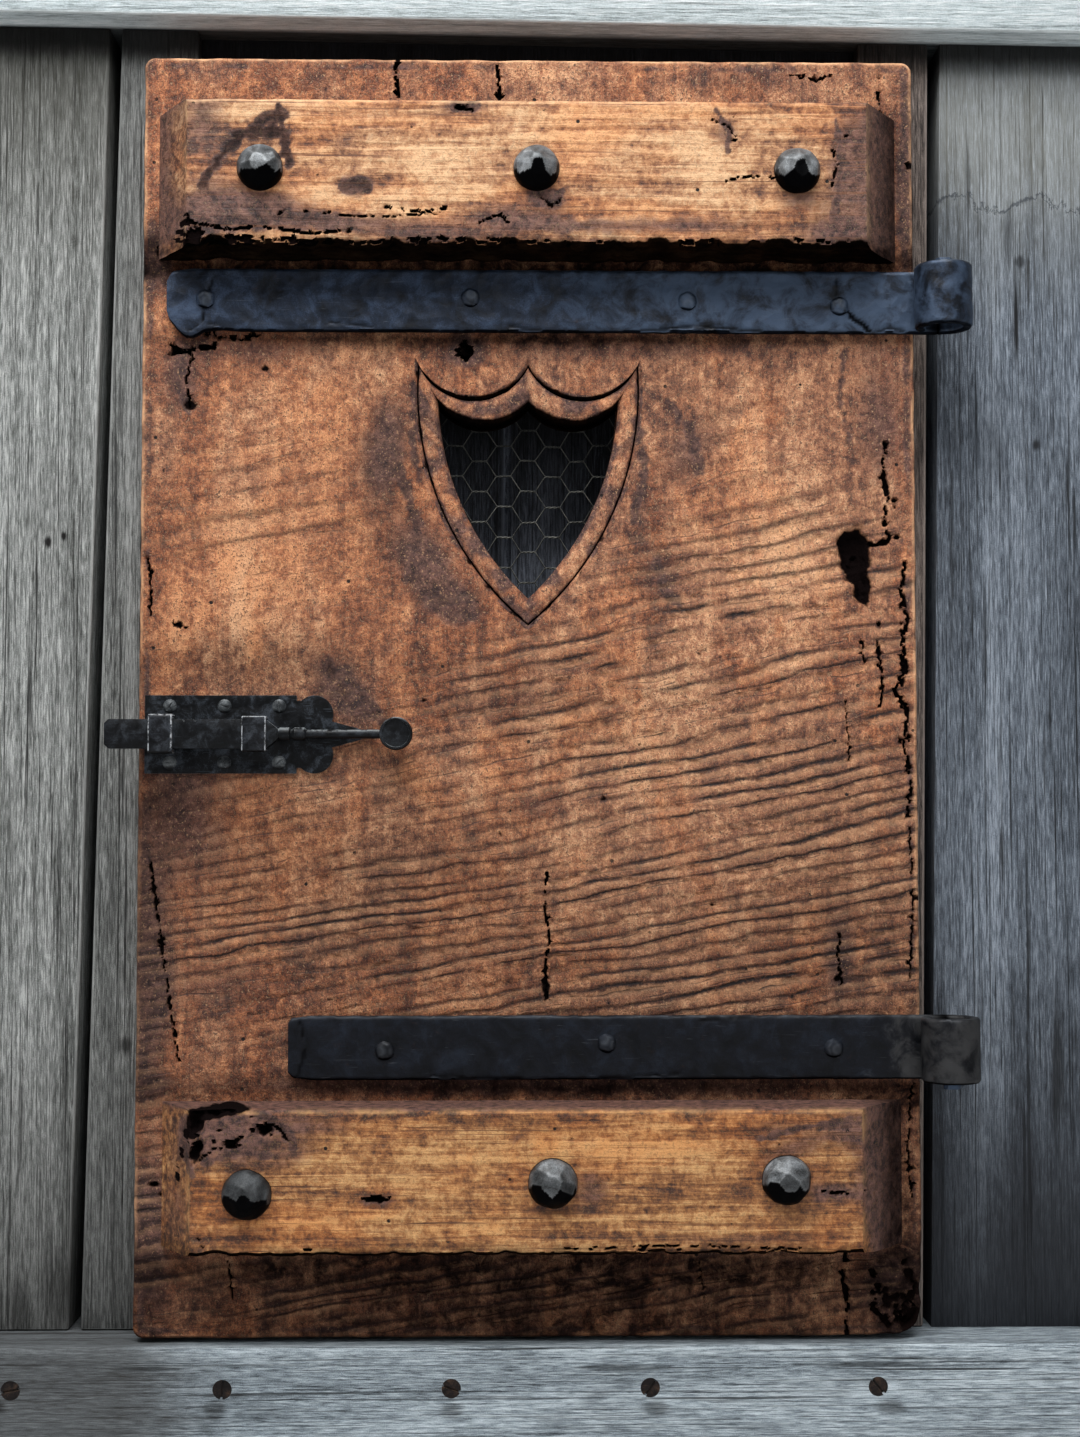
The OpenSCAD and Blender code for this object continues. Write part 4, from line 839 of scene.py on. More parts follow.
# Cracks and ragged fissures: half width, strength, corners
LEAF_CRACKS = [
    (2.9, 1.0, [(395, 56), (396, 75), (398, 96)]), (2.5, 0.95, [(497, 56), (498, 75), (500, 96)]),
    (2.3, 0.9, [(547, 872), (545, 905), (549, 940), (545, 975), (547, 1000)]),
    (2.4, 0.9, [(840, 935), (838, 958), (842, 985)]),
    (2.7, 1.0, [(846, 1250), (843, 1280), (848, 1305), (846, 1332)]),
    (3.3, 1.0, [(886, 445), (883, 470), (888, 498), (884, 520), (890, 540), (872, 545)]),
    (3.0, 1.0, [(905, 565), (902, 592), (908, 618), (903, 645), (907, 668), (894, 690), (909, 712)]),
    (2.6, 0.9, [(908, 712), (905, 745), (912, 780), (908, 815)]),
    (2.2, 0.8, [(878, 640), (884, 690), (880, 706)]), (2.0, 0.7, [(862, 640), (866, 670)]),
    (4.3, 1.0, [(872, 1270), (880, 1290), (872, 1308), (890, 1326)]),
    (5.8, 1.0, [(905, 1262), (915, 1290), (900, 1318), (918, 1332)]),
    (3.6, 0.9, [(888, 1300), (902, 1296), (914, 1306)]),
    (2.2, 0.8, [(150, 862), (156, 905), (163, 960), (170, 1005), (178, 1060)]),
    (1.9, 0.8, [(148, 560), (151, 590), (150, 615)]), (1.9, 0.6, [(192, 355), (186, 380), (190, 408)]),
    (2.4, 0.9, [(170, 345), (176, 352), (190, 350), (215, 346)]),
    (1.7, 0.6, [(205, 333), (240, 340), (262, 334)]), (1.6, 0.7, [(172, 623), (186, 627)]),
    (3.6, 1.0, [(457, 350), (465, 342), (472, 352), (466, 358), (458, 352)]),
    (1.6, 0.5, [(700, 1262), (704, 1300)]), (1.7, 0.6, [(228, 1262), (232, 1300)]),
    (1.9, 0.7, [(912, 1085), (908, 1150), (912, 1200)]), (1.7, 0.7, [(910, 830), (914, 900), (910, 980)]),
    (1.6, 0.55, [(846, 700), (850, 760)]), (1.7, 0.6, [(838, 1060), (842, 1080)]),
    (1.6, 0.5, [(790, 74), (815, 80), (830, 76)]), (2.4, 0.8, [(878, 92), (883, 130), (880, 168)]),
    (3.2, 0.9, [(160, 238), (176, 244), (200, 250)]),
]
# Deep holes: the knot hole and what has rotted away
LEAF_HOLES = [
    (856, 556, 14, 22, 1, -8), (862, 590, 9, 18, 0.9, -14), (850, 545, 12, 9, 0.7), (466, 350, 7, 8, 0.9),
    (912, 1322, 14, 14, 0.8), (176, 352, 9, 5, 0.6),
]
LEAF_PITS = [
    (603, 798, 3, 3, 0.8), (546, 988, 4, 7, 0.9), (700, 655, 3, 3, 0.6), (780, 505, 3, 2, 0.6),
    (240, 800, 3, 3, 0.6), (330, 1000, 3, 2, 0.7), (178, 625, 7, 3, 0.7), (265, 368, 5, 4, 0.7),
    (190, 405, 7, 5, 0.9), (500, 835, 3, 3, 0.6), (640, 745, 3, 3, 0.5), (424, 700, 4, 3, 0.6),
    (712, 905, 4, 2, 0.6), (380, 870, 4, 2, 0.5), (600, 620, 3, 3, 0.5),
]
# Where the leaf is rippled, and how much
LEAF_RIPPLES = [
    (720, 690, 190, 120, 1.6), (620, 930, 340, 90, 1.3), (830, 860, 130, 120, 1), (300, 960, 170, 70, 0.9),
    (530, 1300, 480, 60, 1.1), (790, 560, 110, 80, 0.8), (270, 520, 120, 110, 0.5), (480, 720, 100, 70, 0.55),
    (800, 600, 110, 60, 0.7), (300, 800, 120, 70, 0.45), (150, 1180, 20, 120, 1), (700, 430, 120, 60, 0.3),
]
# Down the leaf in pixels, and how many ripples there are down to there
RIPPLE_ROWS = ([0, 560, 800, 860, 1020, 1250, 1340, 1500], [100, 122, 135.5, 139.5, 151, 165, 172, 184])


def ripple_phase(px, py):
    """Count of ripples down the leaf; they rise to the right."""
    slope = 0.215 - 0.05 * ease(py, 700, 1000)
    down = py + slope * (px - 530) + 7 * fbm(px / 220, py / 70, 31, 3) + 2.0 * noise(px / 34, py / 18, 35)
    return np.interp(down, *RIPPLE_ROWS)


def leaf_relief(points):
    """Depth below the face and the paint, for points on the leaf's face."""
    at_face = np.stack([points[:, 0], np.full(len(points), LEAF_FACE), points[:, 1]], 1)
    px, py = seen(at_face)
    wobble_x, wobble_y = px + 5 * fbm(px / 16, py / 16, 3, 3), py + 5 * fbm(px / 16, py / 16, 7, 3)
    jag_x, jag_y = px + 2.2 * noise(px / 5, py / 5, 11), py + 2.2 * noise(px / 5, py / 5, 13)
    crack = np.maximum(strokes(jag_x, jag_y, LEAF_CRACKS), tears(px, py, LEAF_TEARS, 6, 17, 131))
    hole = np.clip(blots(wobble_x, wobble_y, LEAF_HOLES) * 1.6 - 0.25, 0, 1)
    smear = strokes(px + 3 * noise(px / 8, py / 8, 15), py + 3 * noise(px / 8, py / 8, 19), LEAF_SMEARS)
    pits_and_shade = np.clip(blots(px, py, LEAF_PITS), 0, 1)
    ripple = np.clip(blots(px, py, LEAF_RIPPLES), 0, 1)
    phase = ripple_phase(px, py)
    saw = phase - np.floor(phase)
    step = (1 - saw) ** 1.4 * ease(saw, 0.0, 0.12)
    broken = ease(noise(px / 26, py / 20, 41), -0.5, 0.25)
    depth = (0.35 + 0.35 * fbm(px / 60, py / 60, 21)) * MM
    depth += RIPPLE_D * ripple * broken * step
    depth += 0.12 * MM * (1 + noise(px / 6, py / 9, 23))
    depth += CRACK_D * crack + HOLE_D * hole + PIT_D * pits_and_shade
    in_x = np.minimum(points[:, 0] - leaf_low[0], leaf_high[0] - points[:, 0])
    in_z = np.minimum(points[:, 1] - leaf_low[2], leaf_high[2] - points[:, 1])
    rim = np.minimum(in_x, in_z) / PX + 2 * noise(px / 9, py / 9, 27)
    seam = np.exp(-(((rim - 8.5) / 2.6) ** 2)) * ease(noise(px / 40, py / 40, 29), -0.6, 0.5)
    paint = {
        "stain": np.clip(blots(wobble_x, wobble_y, LEAF_STAINS) + seam + smear, 0, 1.6),
        "pale": blots(wobble_x, wobble_y, LEAF_PALES),
        # Damp, with painted shade and painted shadow under the battens and straps and towards the bottom
        "damp_and_shade": np.clip(blots(wobble_x, wobble_y, LEAF_SHADE_AND_DAMP) + 0.3 * smear, 0, 1),
        # Cracks, holes and pits, darkened for rot and for painted shade in them
        "pits_and_shade": np.clip(crack * 1.1 + hole * 1.4 + pits_and_shade, 0, 1),
        "ripple": ripple,
        "phase": phase,
        "worn": np.zeros(len(px)),
    }
    return np.clip(depth, 0, 20 * MM), paint


PAINTS = ("stain", "pale", "damp_and_shade", "pits_and_shade", "ripple", "phase", "worn")
# How stained the back of the leaf is
BACK_STAIN = 0.45


def plain_last(row_paint, count):
    """Paint the last row as the back, which has no marks."""
    for key, rows in row_paint.items():
        rows[-1] = np.full(count, BACK_STAIN if key == "stain" else 0.0)


def build_leaf():
    """The leaf in four parts: face, edges, moulding of the shield, back."""
    rng = np.random.RandomState(5)
    low, high = leaf_low[[0, 2]], leaf_high[[0, 2]]
    loop, normal = round_outline(low, high, (CORNER_R, ROTTEN_R, CORNER_R, CORNER_R), LOOP_STEP)
    wear = 0.35 * MM * (1 + np.clip(fbm(loop[:, 0] * 60, loop[:, 1] * 60, 51), -1, 1))
    chew = 3.0 * MM * ease(loop[:, 0], 0.19, 0.229) * ease(-loop[:, 1], -0.13, -0.07)
    wear = wear + chew * (0.5 + 0.5 * noise(loop[:, 0] * 130, loop[:, 1] * 130, 53))
    edge = loop - normal * wear[:, None]
    arris = edge - normal * LEAF_ARRIS
    carved = MOULD_W + GROOVE_W
    hole = shield_loop(carved)
    cloud = lattice(low, high, FACE_STEP, rng)
    cloud = cloud[inside(cloud, arris - normal * 1.4 * MM) & ~inside(cloud, shield_loop(carved + 1.5 * MM))]
    tracks = []
    for half, _, corners in LEAF_CRACKS:
        for (x0, y0), (x1, y1) in zip(corners, corners[1:]):
            for t in np.arange(0, 1, 1.6 / math.hypot(x1 - x0, y1 - y0)):
                for side in (-1, -0.4, 0.4, 1):
                    tracks.append(at(x0 + (x1 - x0) * t + side * half, y0 + (y1 - y0) * t, LEAF_FACE))
    tracks = np.array(tracks)
    tracks = tracks[inside(tracks, arris - normal * 1.0 * MM) & ~inside(tracks, shield_loop(carved + 1.2 * MM))]
    flat, tris = sheet([arris, hole], np.concatenate([cloud, tracks]))
    depth, paint = leaf_relief(flat)
    front = np.stack([flat[:, 0], LEAF_FACE + depth, flat[:, 1]], 1)
    parts, paints = [(front, tris.tolist())], [paint]

    # Arris, sides and the back's rim
    rim_depth, rim_paint = leaf_relief(arris)
    rows = [(LEAF_ARRIS, rim_depth, 0.2)]
    for share, sink, worn in ((0.62, 0.25, 0.75), (0.28, 0.9, 1.0), (0.06, 2.0, 0.5), (0.0, 3.6, 0.0)):
        rows.append((LEAF_ARRIS * share, sink * MM + rim_depth * share * 0.6, worn))
    first_back = len(rows) + 2
    thick = LEAF_BACK - LEAF_FACE
    for deep in (9 * MM, 16 * MM, 23 * MM, thick - 1.2 * MM):
        rows.append((0.0, np.full(len(loop), deep), 0.0))
    rows.append((BACK_ARRIS, np.full(len(loop), thick), 0.0))
    ring, ring_paint = [], {k: [] for k in PAINTS}
    for n, (inset, deep, worn) in enumerate(rows):
        p = edge - normal * inset
        ring.append(np.stack([p[:, 0], LEAF_FACE + deep, p[:, 1]], 1))
        for k in PAINTS:
            ring_paint[k].append(rim_paint[k] * (1.0 if worn else (0.0 if k == "ripple" else 0.6)))
        # The arris rubbed pale: wear and a painted highlight on the rim, less where damp and shade are painted
        bright = ease(noise(p[:, 0] * 45, p[:, 1] * 45, 61), -0.7, 0.2)
        ring_paint["worn"][-1] = worn * bright * (1 - np.clip(rim_paint["damp_and_shade"] * 1.2, 0, 1))
        if n >= first_back:
            plain_last(ring_paint, len(loop))
    parts.append((np.concatenate(ring), ring_faces(len(rows), len(loop))))
    paints.append({k: np.concatenate(v) for k, v in ring_paint.items()})

    # Moulding of the shield: groove, round, and the wall of the opening. Painted shade darkens the groove's foot and
    # the wall of the opening, more deeply inside; the round is darker on its sides and paler on its crown, partly
    # stain and partly painted shade and highlight
    outer_depth, outer_paint = leaf_relief(hole)
    section = [(carved, None, 0.0, 0.25)]
    for t in (0.25, 0.5, 0.75):
        section.append((MOULD_W + GROOVE_W * (1 - t), GROOVE_D * t**2.0, 0.05 + 0.3 * t, 0.8))
    for k in range(13):
        t = math.pi * (1 - k / 12)
        g = MOULD_W * (1 - math.cos(t)) / 2
        drop = GROOVE_D - CROWN_SINK if k < 6 else MOULD_H
        deep = CROWN_SINK + drop * (1 - math.sin(t) ** 0.9)
        hollow_shade = 1.0 if k == 0 else (0.35 if k == 1 else 0.0)
        section.append((g, deep, hollow_shade, 0.6 if 2 < k < 9 else 1.0))
    for deep in (7 * MM, 11 * MM, 16 * MM, 22 * MM, thick):
        section.append((0.0, deep, 0.2 + 20 * deep, 1.0))
    rows, row_paint = [], {k: [] for k in PAINTS}
    for n, (grown, deep, hollow_shade, dirt_and_shade) in enumerate(section):
        p = shield_loop(grown)
        rough = 0.5 * MM * (1 + fbm(p[:, 0] * 190 + grown * 60, p[:, 1] * 190, 71, 3))
        y = outer_depth if deep is None else np.maximum(deep + rough, 0)
        rows.append(np.stack([p[:, 0], LEAF_FACE + np.minimum(y, thick), p[:, 1]], 1))
        for k in PAINTS:
            row_paint[k].append(outer_paint[k] * (1.0 if n == 0 else 0.5))
        blotch = ease(fbm(p[:, 0] * 70, p[:, 1] * 70, 73, 3), -0.35, 0.6)
        row_paint["stain"][-1] = row_paint["stain"][-1] + dirt_and_shade * (0.3 + 1.25 * blotch)
        chipped = ease(fbm(p[:, 0] * 150 + grown * 300, p[:, 1] * 150, 75, 3), 0.25, 0.7)
        row_paint["pits_and_shade"][-1] = np.clip(hollow_shade * ease(chipped, -1.2, 0.1) + 0.28 * chipped * (grown > 0), 0, 1)
        row_paint["ripple"][-1] = outer_paint["ripple"] * (1.0 if n == 0 else 0.0)
        row_paint["pale"][-1] = row_paint["pale"][-1] + (0.2 if dirt_and_shade < 0.7 and n else 0.0)
        if deep == thick:
            plain_last(row_paint, len(p))
    parts.append((np.concatenate(rows), ring_faces(len(rows), len(hole))))
    paints.append({k: np.concatenate(v) for k, v in row_paint.items()})

    # Back of the leaf
    back_edge = edge - normal * BACK_ARRIS
    cloud = lattice(low, high, BACK_STEP, rng)
    cloud = cloud[inside(cloud, back_edge - normal * 5 * MM) & ~inside(cloud, shield_loop(5 * MM))]
    flat, tris = sheet([back_edge, shield_loop(0)], cloud)
    parts.append((np.stack([flat[:, 0], np.full(len(flat), LEAF_BACK), flat[:, 1]], 1), tris.tolist()))
    plain = {k: np.zeros(len(flat)) for k in PAINTS}
    plain["stain"] += BACK_STAIN + 0.4 * fbm(flat[:, 0] * 12, flat[:, 1] * 12, 81)
    paints.append(plain)
    points, faces = join(parts)
    paint = {k: np.concatenate([p[k] for p in paints]) for k in PAINTS}
    make("leaf", points, faces, ORANGE, "leaf", ("door_leaf",), paint)


# Battens

# Marks on the upper batten, in pixels of the photograph: ovals and bent lines as on the leaf
TOP_STAINS = [
    (216, 210, 60, 20, 0.5), (200, 110, 26, 26, 0.45), (270, 205, 60, 14, 0.4), (845, 170, 20, 70, 0.85),
    (835, 235, 30, 12, 0.8), (725, 132, 16, 22, 0.7), (500, 210, 40, 14, 0.55), (300, 222, 90, 8, 0.6),
    (190, 225, 24, 12, 0.8), (545, 196, 20, 12, 1.2, 20), (690, 225, 60, 10, 0.45), (800, 200, 26, 14, 0.7),
    (357, 185, 22, 12, 0.9), (463, 108, 22, 7, 0.9), (370, 135, 40, 7, 0.35, -4), (560, 225, 60, 8, 0.5),
    (425, 236, 60, 8, 0.5), (880, 170, 20, 90, 1.3), (500, 224, 360, 14, 0.45), (208, 150, 34, 60, 0.5),
    (250, 200, 60, 20, 0.4),
]
TOP_PALES = [
    (215, 120, 30, 30, 0.3), (330, 110, 60, 16, 0.4), (420, 160, 60, 26, 0.5), (610, 170, 70, 36, 0.45),
    (705, 165, 34, 34, 0.9), (620, 125, 60, 14, 0.3), (390, 215, 60, 14, 0.4), (640, 215, 40, 12, 0.4),
    (300, 190, 40, 16, 0.35),
]
TOP_CRACKS = [
    (1.3, 0.5, [(320, 214), (380, 217), (440, 213)]), (1.9, 0.7, [(455, 106), (472, 110)]),
    (1.6, 0.7, [(725, 182), (740, 176), (775, 178)]), (1.4, 0.6, [(710, 118), (728, 126), (738, 138)]),
    (1.6, 0.8, [(832, 148), (838, 165), (832, 186)]), (1.4, 0.6, [(540, 196), (552, 206), (560, 200)]),
    (2.0, 0.9, [(188, 222), (230, 229), (262, 226), (310, 233), (350, 230)]),
    (1.6, 0.8, [(385, 206), (420, 212), (446, 208)]), (1.6, 0.8, [(480, 222), (500, 214), (508, 222)]),
]
TOP_SMEARS = [
    (9, 1.5, [(203, 183), (212, 168), (226, 150), (242, 136)]), (15, 1.6, [(238, 134), (258, 130), (281, 130)]),
    (10, 1.5, [(277, 106), (284, 132), (287, 164)]), (14, 1.4, [(248, 130), (264, 122), (280, 114)]),
    (11, 1.3, [(344, 185), (357, 184), (371, 186)]), (5, 0.7, [(716, 110), (730, 130), (728, 150)]),
    (6, 0.8, [(540, 194), (556, 204), (562, 190)]), (6, 0.6, [(836, 120), (842, 160), (834, 220)]),
    (9, 0.9, [(452, 104), (464, 108), (474, 106)]), (14, 0.7, [(200, 226), (260, 216), (330, 220)]),
]
TOP_TEARS = [
    (215, 240, 60, 10, 0.85), (310, 240, 60, 7, 0.7), (420, 241, 60, 6, 0.65), (520, 241, 90, 5, 0.6),
    (690, 242, 110, 5, 0.6), (820, 240, 40, 6, 0.6), (186, 228, 12, 16, 0.85), (290, 208, 50, 12, 0.46),
    (470, 216, 50, 9, 0.5), (730, 130, 12, 24, 0.4), (780, 212, 40, 8, 0.42), (560, 200, 16, 10, 0.5),
    (852, 140, 8, 40, 0.4),
]
TOP_HOLES = [
    (463, 108, 12, 3, 0.4),
]
# Marks on the lower batten
LOW_STAINS = [
    (300, 1124, 80, 12, 0.6), (250, 1160, 46, 20, 0.45), (180, 1205, 16, 40, 0.5), (226, 1134, 34, 16, 0.6),
    (228, 1132, 50, 26, 0.55), (196, 1146, 16, 24, 0.6), (375, 1200, 20, 8, 1), (835, 1193, 20, 8, 0.8),
    (880, 1180, 20, 70, 1.2), (860, 1130, 30, 18, 0.8), (790, 1150, 50, 10, 0.4, -20), (800, 1190, 60, 60, 0.4),
    (520, 1106, 380, 6, 0.7), (590, 1190, 24, 22, 0.7), (250, 1230, 60, 12, 0.4), (700, 1240, 120, 8, 0.4),
    (516, 1138, 8, 6, 0.6), (770, 1130, 60, 14, 0.35, -15), (300, 1150, 30, 20, 0.4),
]
LOW_PALES = [
    (420, 1160, 130, 26, 0.6, -3), (640, 1150, 110, 24, 0.6), (330, 1220, 90, 20, 0.4),
    (680, 1215, 100, 18, 0.35), (480, 1230, 100, 14, 0.3), (310, 1165, 14, 10, 0.6),
]
LOW_CRACKS = [
    (2.2, 0.9, [(362, 1200), (376, 1202), (390, 1199)]), (1.6, 0.8, [(822, 1192), (848, 1194)]),
    (1.3, 0.5, [(196, 1236), (204, 1252)]), (1.4, 0.6, [(560, 1250), (680, 1246), (800, 1250)]),
    (1.9, 0.9, [(190, 1120), (182, 1150), (178, 1180)]), (1.8, 0.8, [(262, 1122), (280, 1130), (288, 1142)]),
    (1.6, 0.7, [(200, 1160), (214, 1150), (240, 1146)]),
]
LOW_SMEARS = [
    (8, 0.9, [(262, 1116), (284, 1130), (292, 1146)]), (7, 0.8, [(186, 1120), (184, 1150), (192, 1176)]),
    (6, 0.6, [(760, 1140), (800, 1128), (850, 1120)]), (6, 0.6, [(205, 1162), (240, 1152), (268, 1156)]),
]
LOW_TEARS = [
    (230, 1116, 40, 8, 0.5), (194, 1140, 10, 24, 0.55), (262, 1136, 22, 10, 0.5, 20), (226, 1140, 30, 14, 0.48),
    (375, 1200, 16, 5, 0.6), (835, 1193, 14, 5, 0.5), (640, 1250, 180, 4, 0.5), (870, 1200, 8, 50, 0.5),
    (300, 1250, 60, 4, 0.45), (500, 1108, 200, 3, 0.35),
]
LOW_HOLES = [
    (220, 1111, 26, 6, 1.1, -4), (194, 1124, 8, 12, 0.9, 30), (196, 1152, 8, 11, 0.75, 20),
    (264, 1130, 9, 6, 0.7, 20), (232, 1143, 10, 3, 0.6, -20), (375, 1200, 9, 4, 0.45), (835, 1193, 7, 3, 0.4),
]


BATTEN_STEP = 1.25 * MM
# The rounded edge between a batten's front and its ends and long sides
BATTEN_ARRIS, BATTEN_SHOULDER = 3 * MM, 0.6 * MM
# How rubbed and highlit each ring is, from the leaf outwards: wear and a painted edge highlight
RING_WEAR_AND_HIGHLIGHT = (0, 0, 0, 0, 0, 0, 0.1, 0.55, 1.0, 0.35)


def build_batten(name, marks, bevels, dirt_and_shade, material, ragged, hole_depth):
    """A bevelled board on the leaf: rings from the leaf outwards, then the front's grid.

    Bevels and darkening are for the left and the right end: stain on both ends, with painted shade on the right end
    too. Ragged: how far the lower edge is eaten away.
    """
    low, high = (np.array(p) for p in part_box(name))
    stains, pales, cracks, smears, torn, holes = marks
    cols, rows = (int((high[k] - low[k]) / BATTEN_STEP) for k in (0, 2))
    face = low[1]
    thick = high[1] - low[1]
    left, right = bevels

    def board(inset_left, inset_right, inset_z, y, loose):
        """Grid of one layer; its lower edge is ragged where loose."""
        u, v = np.meshgrid(np.linspace(0, 1, cols), np.linspace(0, 1, rows))
        x = low[0] + inset_left + u * (high[0] - low[0] - inset_left - inset_right)
        px, _ = seen(np.stack([x.ravel(), np.full(x.size, face), np.full(x.size, low[2])], 1))
        px = px.reshape(x.shape)
        bite = ragged * loose * ease(fbm(px / 38, px * 0 + 3, 91, 4), -0.35, 0.8)
        nick = 0.5 * MM * loose * (1 + noise(px / 30, px * 0 + 9, 93))
        bottom, top = low[2] + inset_z + bite, high[2] - inset_z - nick
        return np.stack([x, np.full(x.shape, y), bottom + v * (top - bottom)], -1).reshape(-1, 3)

    layers = []
    for share in np.linspace(0, 1, 8)[:-1]:
        layers.append(board(left * share, right * share, 0.0, high[1] - thick * share * 0.93, 0.5 + 0.5 * share))
    for share, inset, proud in ((0.975, 0.22, 0.72), (1.0, 0.62, 0.28)):
        layers.append(board(left * share, right * share, BATTEN_ARRIS * inset, face + BATTEN_ARRIS * proud, 1.0))
    grid = board(left + BATTEN_SHOULDER, right + BATTEN_SHOULDER, BATTEN_ARRIS, face, 1.0)
    rim = np.concatenate([
        np.arange(cols), cols - 1 + cols * np.arange(1, rows),
        (rows - 1) * cols + np.arange(cols - 2, -1, -1), cols * np.arange(rows - 2, 0, -1),
    ])
    loops = [layer[rim] for layer in layers + [grid]]
    points = np.concatenate(loops + [grid])

    px, py = seen(points)
    wobble_x, wobble_y = px + 4 * fbm(px / 14, py / 10, 95, 3), py + 4 * fbm(px / 14, py / 10, 97, 3)
    jag_x, jag_y = px + 1.6 * noise(px / 6, py / 5, 99), py + 1.6 * noise(px / 6, py / 5, 101)
    crack = np.maximum(strokes(jag_x, jag_y, cracks), tears(px, py, torn, 12, 6, 141))
    smear = strokes(px + 1.5 * noise(px / 9, py / 7, 143), py + 1.5 * noise(px / 9, py / 7, 145), smears)
    hole = np.clip(blots(wobble_x, wobble_y, holes) * 1.5 - 0.2, 0, 1)
    depth = 0.3 * MM * (1 + fbm(px / 120, py / 14, 103)) + 0.16 * MM * (1 + noise(px / 60, py / 3.2, 105))
    depth += 2.6 * MM * crack + hole_depth * hole * (0.8 + 0.3 * noise(px / 9, py / 9, 107))
    last = len(loops) - 1
    weight = [np.full(len(rim), max(0.0, (k - 5) / (last - 5))) for k in range(len(loops))]
    weight = np.concatenate(weight + [np.ones(len(grid))])
    points[:, 1] = np.minimum(points[:, 1] + np.clip(depth, 0, thick * 0.6) * weight, high[1])

    left_end = dirt_and_shade[0] * ease(-points[:, 0], -(low[0] + left), -low[0] + 0.001)
    right_end = dirt_and_shade[1] * ease(points[:, 0], high[0] - right, high[0])
    top_side = ease(points[:, 2], high[2] - 2.0 * MM, high[2]) * ease(points[:, 1], face + 0.5 * MM, face + 3 * MM)
    low_edge = ease(-points[:, 2], -(low[2] + 11 * MM), -(low[2] + 2 * MM))
    # Rubbed rings at the arris: wear and a painted edge highlight, less near the lower edge
    worn = np.concatenate([np.full(len(rim), w) for w in RING_WEAR_AND_HIGHLIGHT] + [np.zeros(len(grid))])
    worn = worn * ease(noise(px / 50, py / 30, 109), -0.5, 0.3) * 0.6 * (1 - 0.85 * low_edge)
    stain = blots(wobble_x, wobble_y, stains) + smear + left_end + right_end + top_side
    # Darker along the lower edge and in the smears; painted shade on the right end, a little on the left
    damp_and_shade = 0.75 * low_edge * ease(noise(px / 24, py / 12, 111), -0.7, 0.4)
    damp_and_shade = damp_and_shade + 0.7 * right_end + 0.08 * left_end + 0.5 * smear
    paint = {
        "stain": np.clip(stain, 0, 1.6),
        "pale": blots(wobble_x, wobble_y, pales),
        "damp_and_shade": np.clip(damp_and_shade, 0, 1),
        "pits_and_shade": np.clip(crack * 1.1 + hole * 1.3, 0, 1),
        "ripple": np.zeros(len(px)),
        "phase": np.zeros(len(px)),
        "worn": worn,
    }
    faces = ring_faces(len(loops), len(rim)) + ring_faces(rows, cols, len(rim) * len(loops), closed=False)
    make("board_" + name, points, faces, material, "leaf", (name,), paint)


# Iron


def facet_dome(centre, radius, height, facets, seed, rings, spokes, soft):
    """A forged head that faces the room: a dome of flat hammer facets whose edges are softened.

    One facet is near the middle, half of the others lie round it and half round the rim. Gives the
    points in rings from the middle outwards, how rubbed and highlit they are, and how dark they are:
    painted shade where the facets and rim look down, and a random tone for each facet.
    """
    rng = np.random.RandomState(seed)
    near, far = facets // 2, facets - facets // 2
    tilt = np.concatenate([[rng.uniform(3, 14)], rng.uniform(28, 48, near), rng.uniform(58, 80, far)])
    spin = np.concatenate([
        [rng.uniform(0, 360)],
        np.arange(near) * 720 / facets + rng.uniform(-16, 16, near),
        np.arange(far) * 360 / far + rng.uniform(-12, 12, far),
    ])
    t, s = np.radians(tilt), np.radians(spin)
    normals = np.stack([np.sin(t) * np.cos(s), -np.cos(t), np.sin(t) * np.sin(s)], 1)
    cut = np.where(tilt < 50, rng.uniform(0.86, 0.94, len(t)), rng.uniform(0.94, 0.99, len(t)))
    reach = np.sqrt((radius * np.sin(t)) ** 2 + (height * np.cos(t)) ** 2) * cut
    polar = np.radians(np.linspace(0, 90, rings))
    around = np.radians(np.linspace(0, 360, spokes, endpoint=False))
    p, a = np.meshgrid(polar, around, indexing="ij")
    ray = np.stack([np.sin(p) * np.cos(a), -np.cos(p), np.sin(p) * np.sin(a)], -1).reshape(-1, 3)
    facing = ray @ normals.T
    hit = np.where(facing > 0.02, reach / np.maximum(facing, 0.02), 1.0)
    edge = 1 / np.sqrt((ray[:, [0, 2]] ** 2).sum(1) / radius**2 + ray[:, 1] ** 2 / height**2)
    hit = np.concatenate([hit, edge[:, None]], 1)
    first = hit.min(1)
    length = first - soft * np.log(np.exp(-(hit - first[:, None]) / soft).sum(1)) * 0.8
    ordered = np.sort(hit, 1)
    # Rubbed edges between facets, more towards the front: wear and a painted highlight
    worn = np.exp(-(ordered[:, 1] - ordered[:, 0]) / (0.45 * MM)) * ease(-ray[:, 1], 0.1, 0.5)
    length = np.minimum(length, edge)
    points = ray * length[:, None] + centre
    tone = rng.uniform(0.0, 0.4, len(t))
    side = np.clip(hit.argmin(1), 0, len(t) - 1)
    rim = hit.argmin(1) == len(t)
    # Painted shade on facets and rim that look down; a random tone on the other facets
    down = np.where(rim, -ray[:, 2], -normals[side, 2])
    dark = np.maximum(ease(down, -0.06, 0.22), np.where(rim, 0.2, tone[side]))
    return points, worn, dark


STUD_RINGS, STUD_SPOKES, STUD_FACETS, STUD_SEED = 26, 60, 19, 206
STUD_ROOT = 4 * MM
NAIL_RINGS, NAIL_SPOKES, NAIL_FACETS = 12, 36, 11
NAIL_R, NAIL_H, NAIL_SEAT = 6 * MM, 1.9 * MM, 2.6 * MM
# Vertices this far apart along a strap belong to different nails
NAIL_GAP = 12 * MM


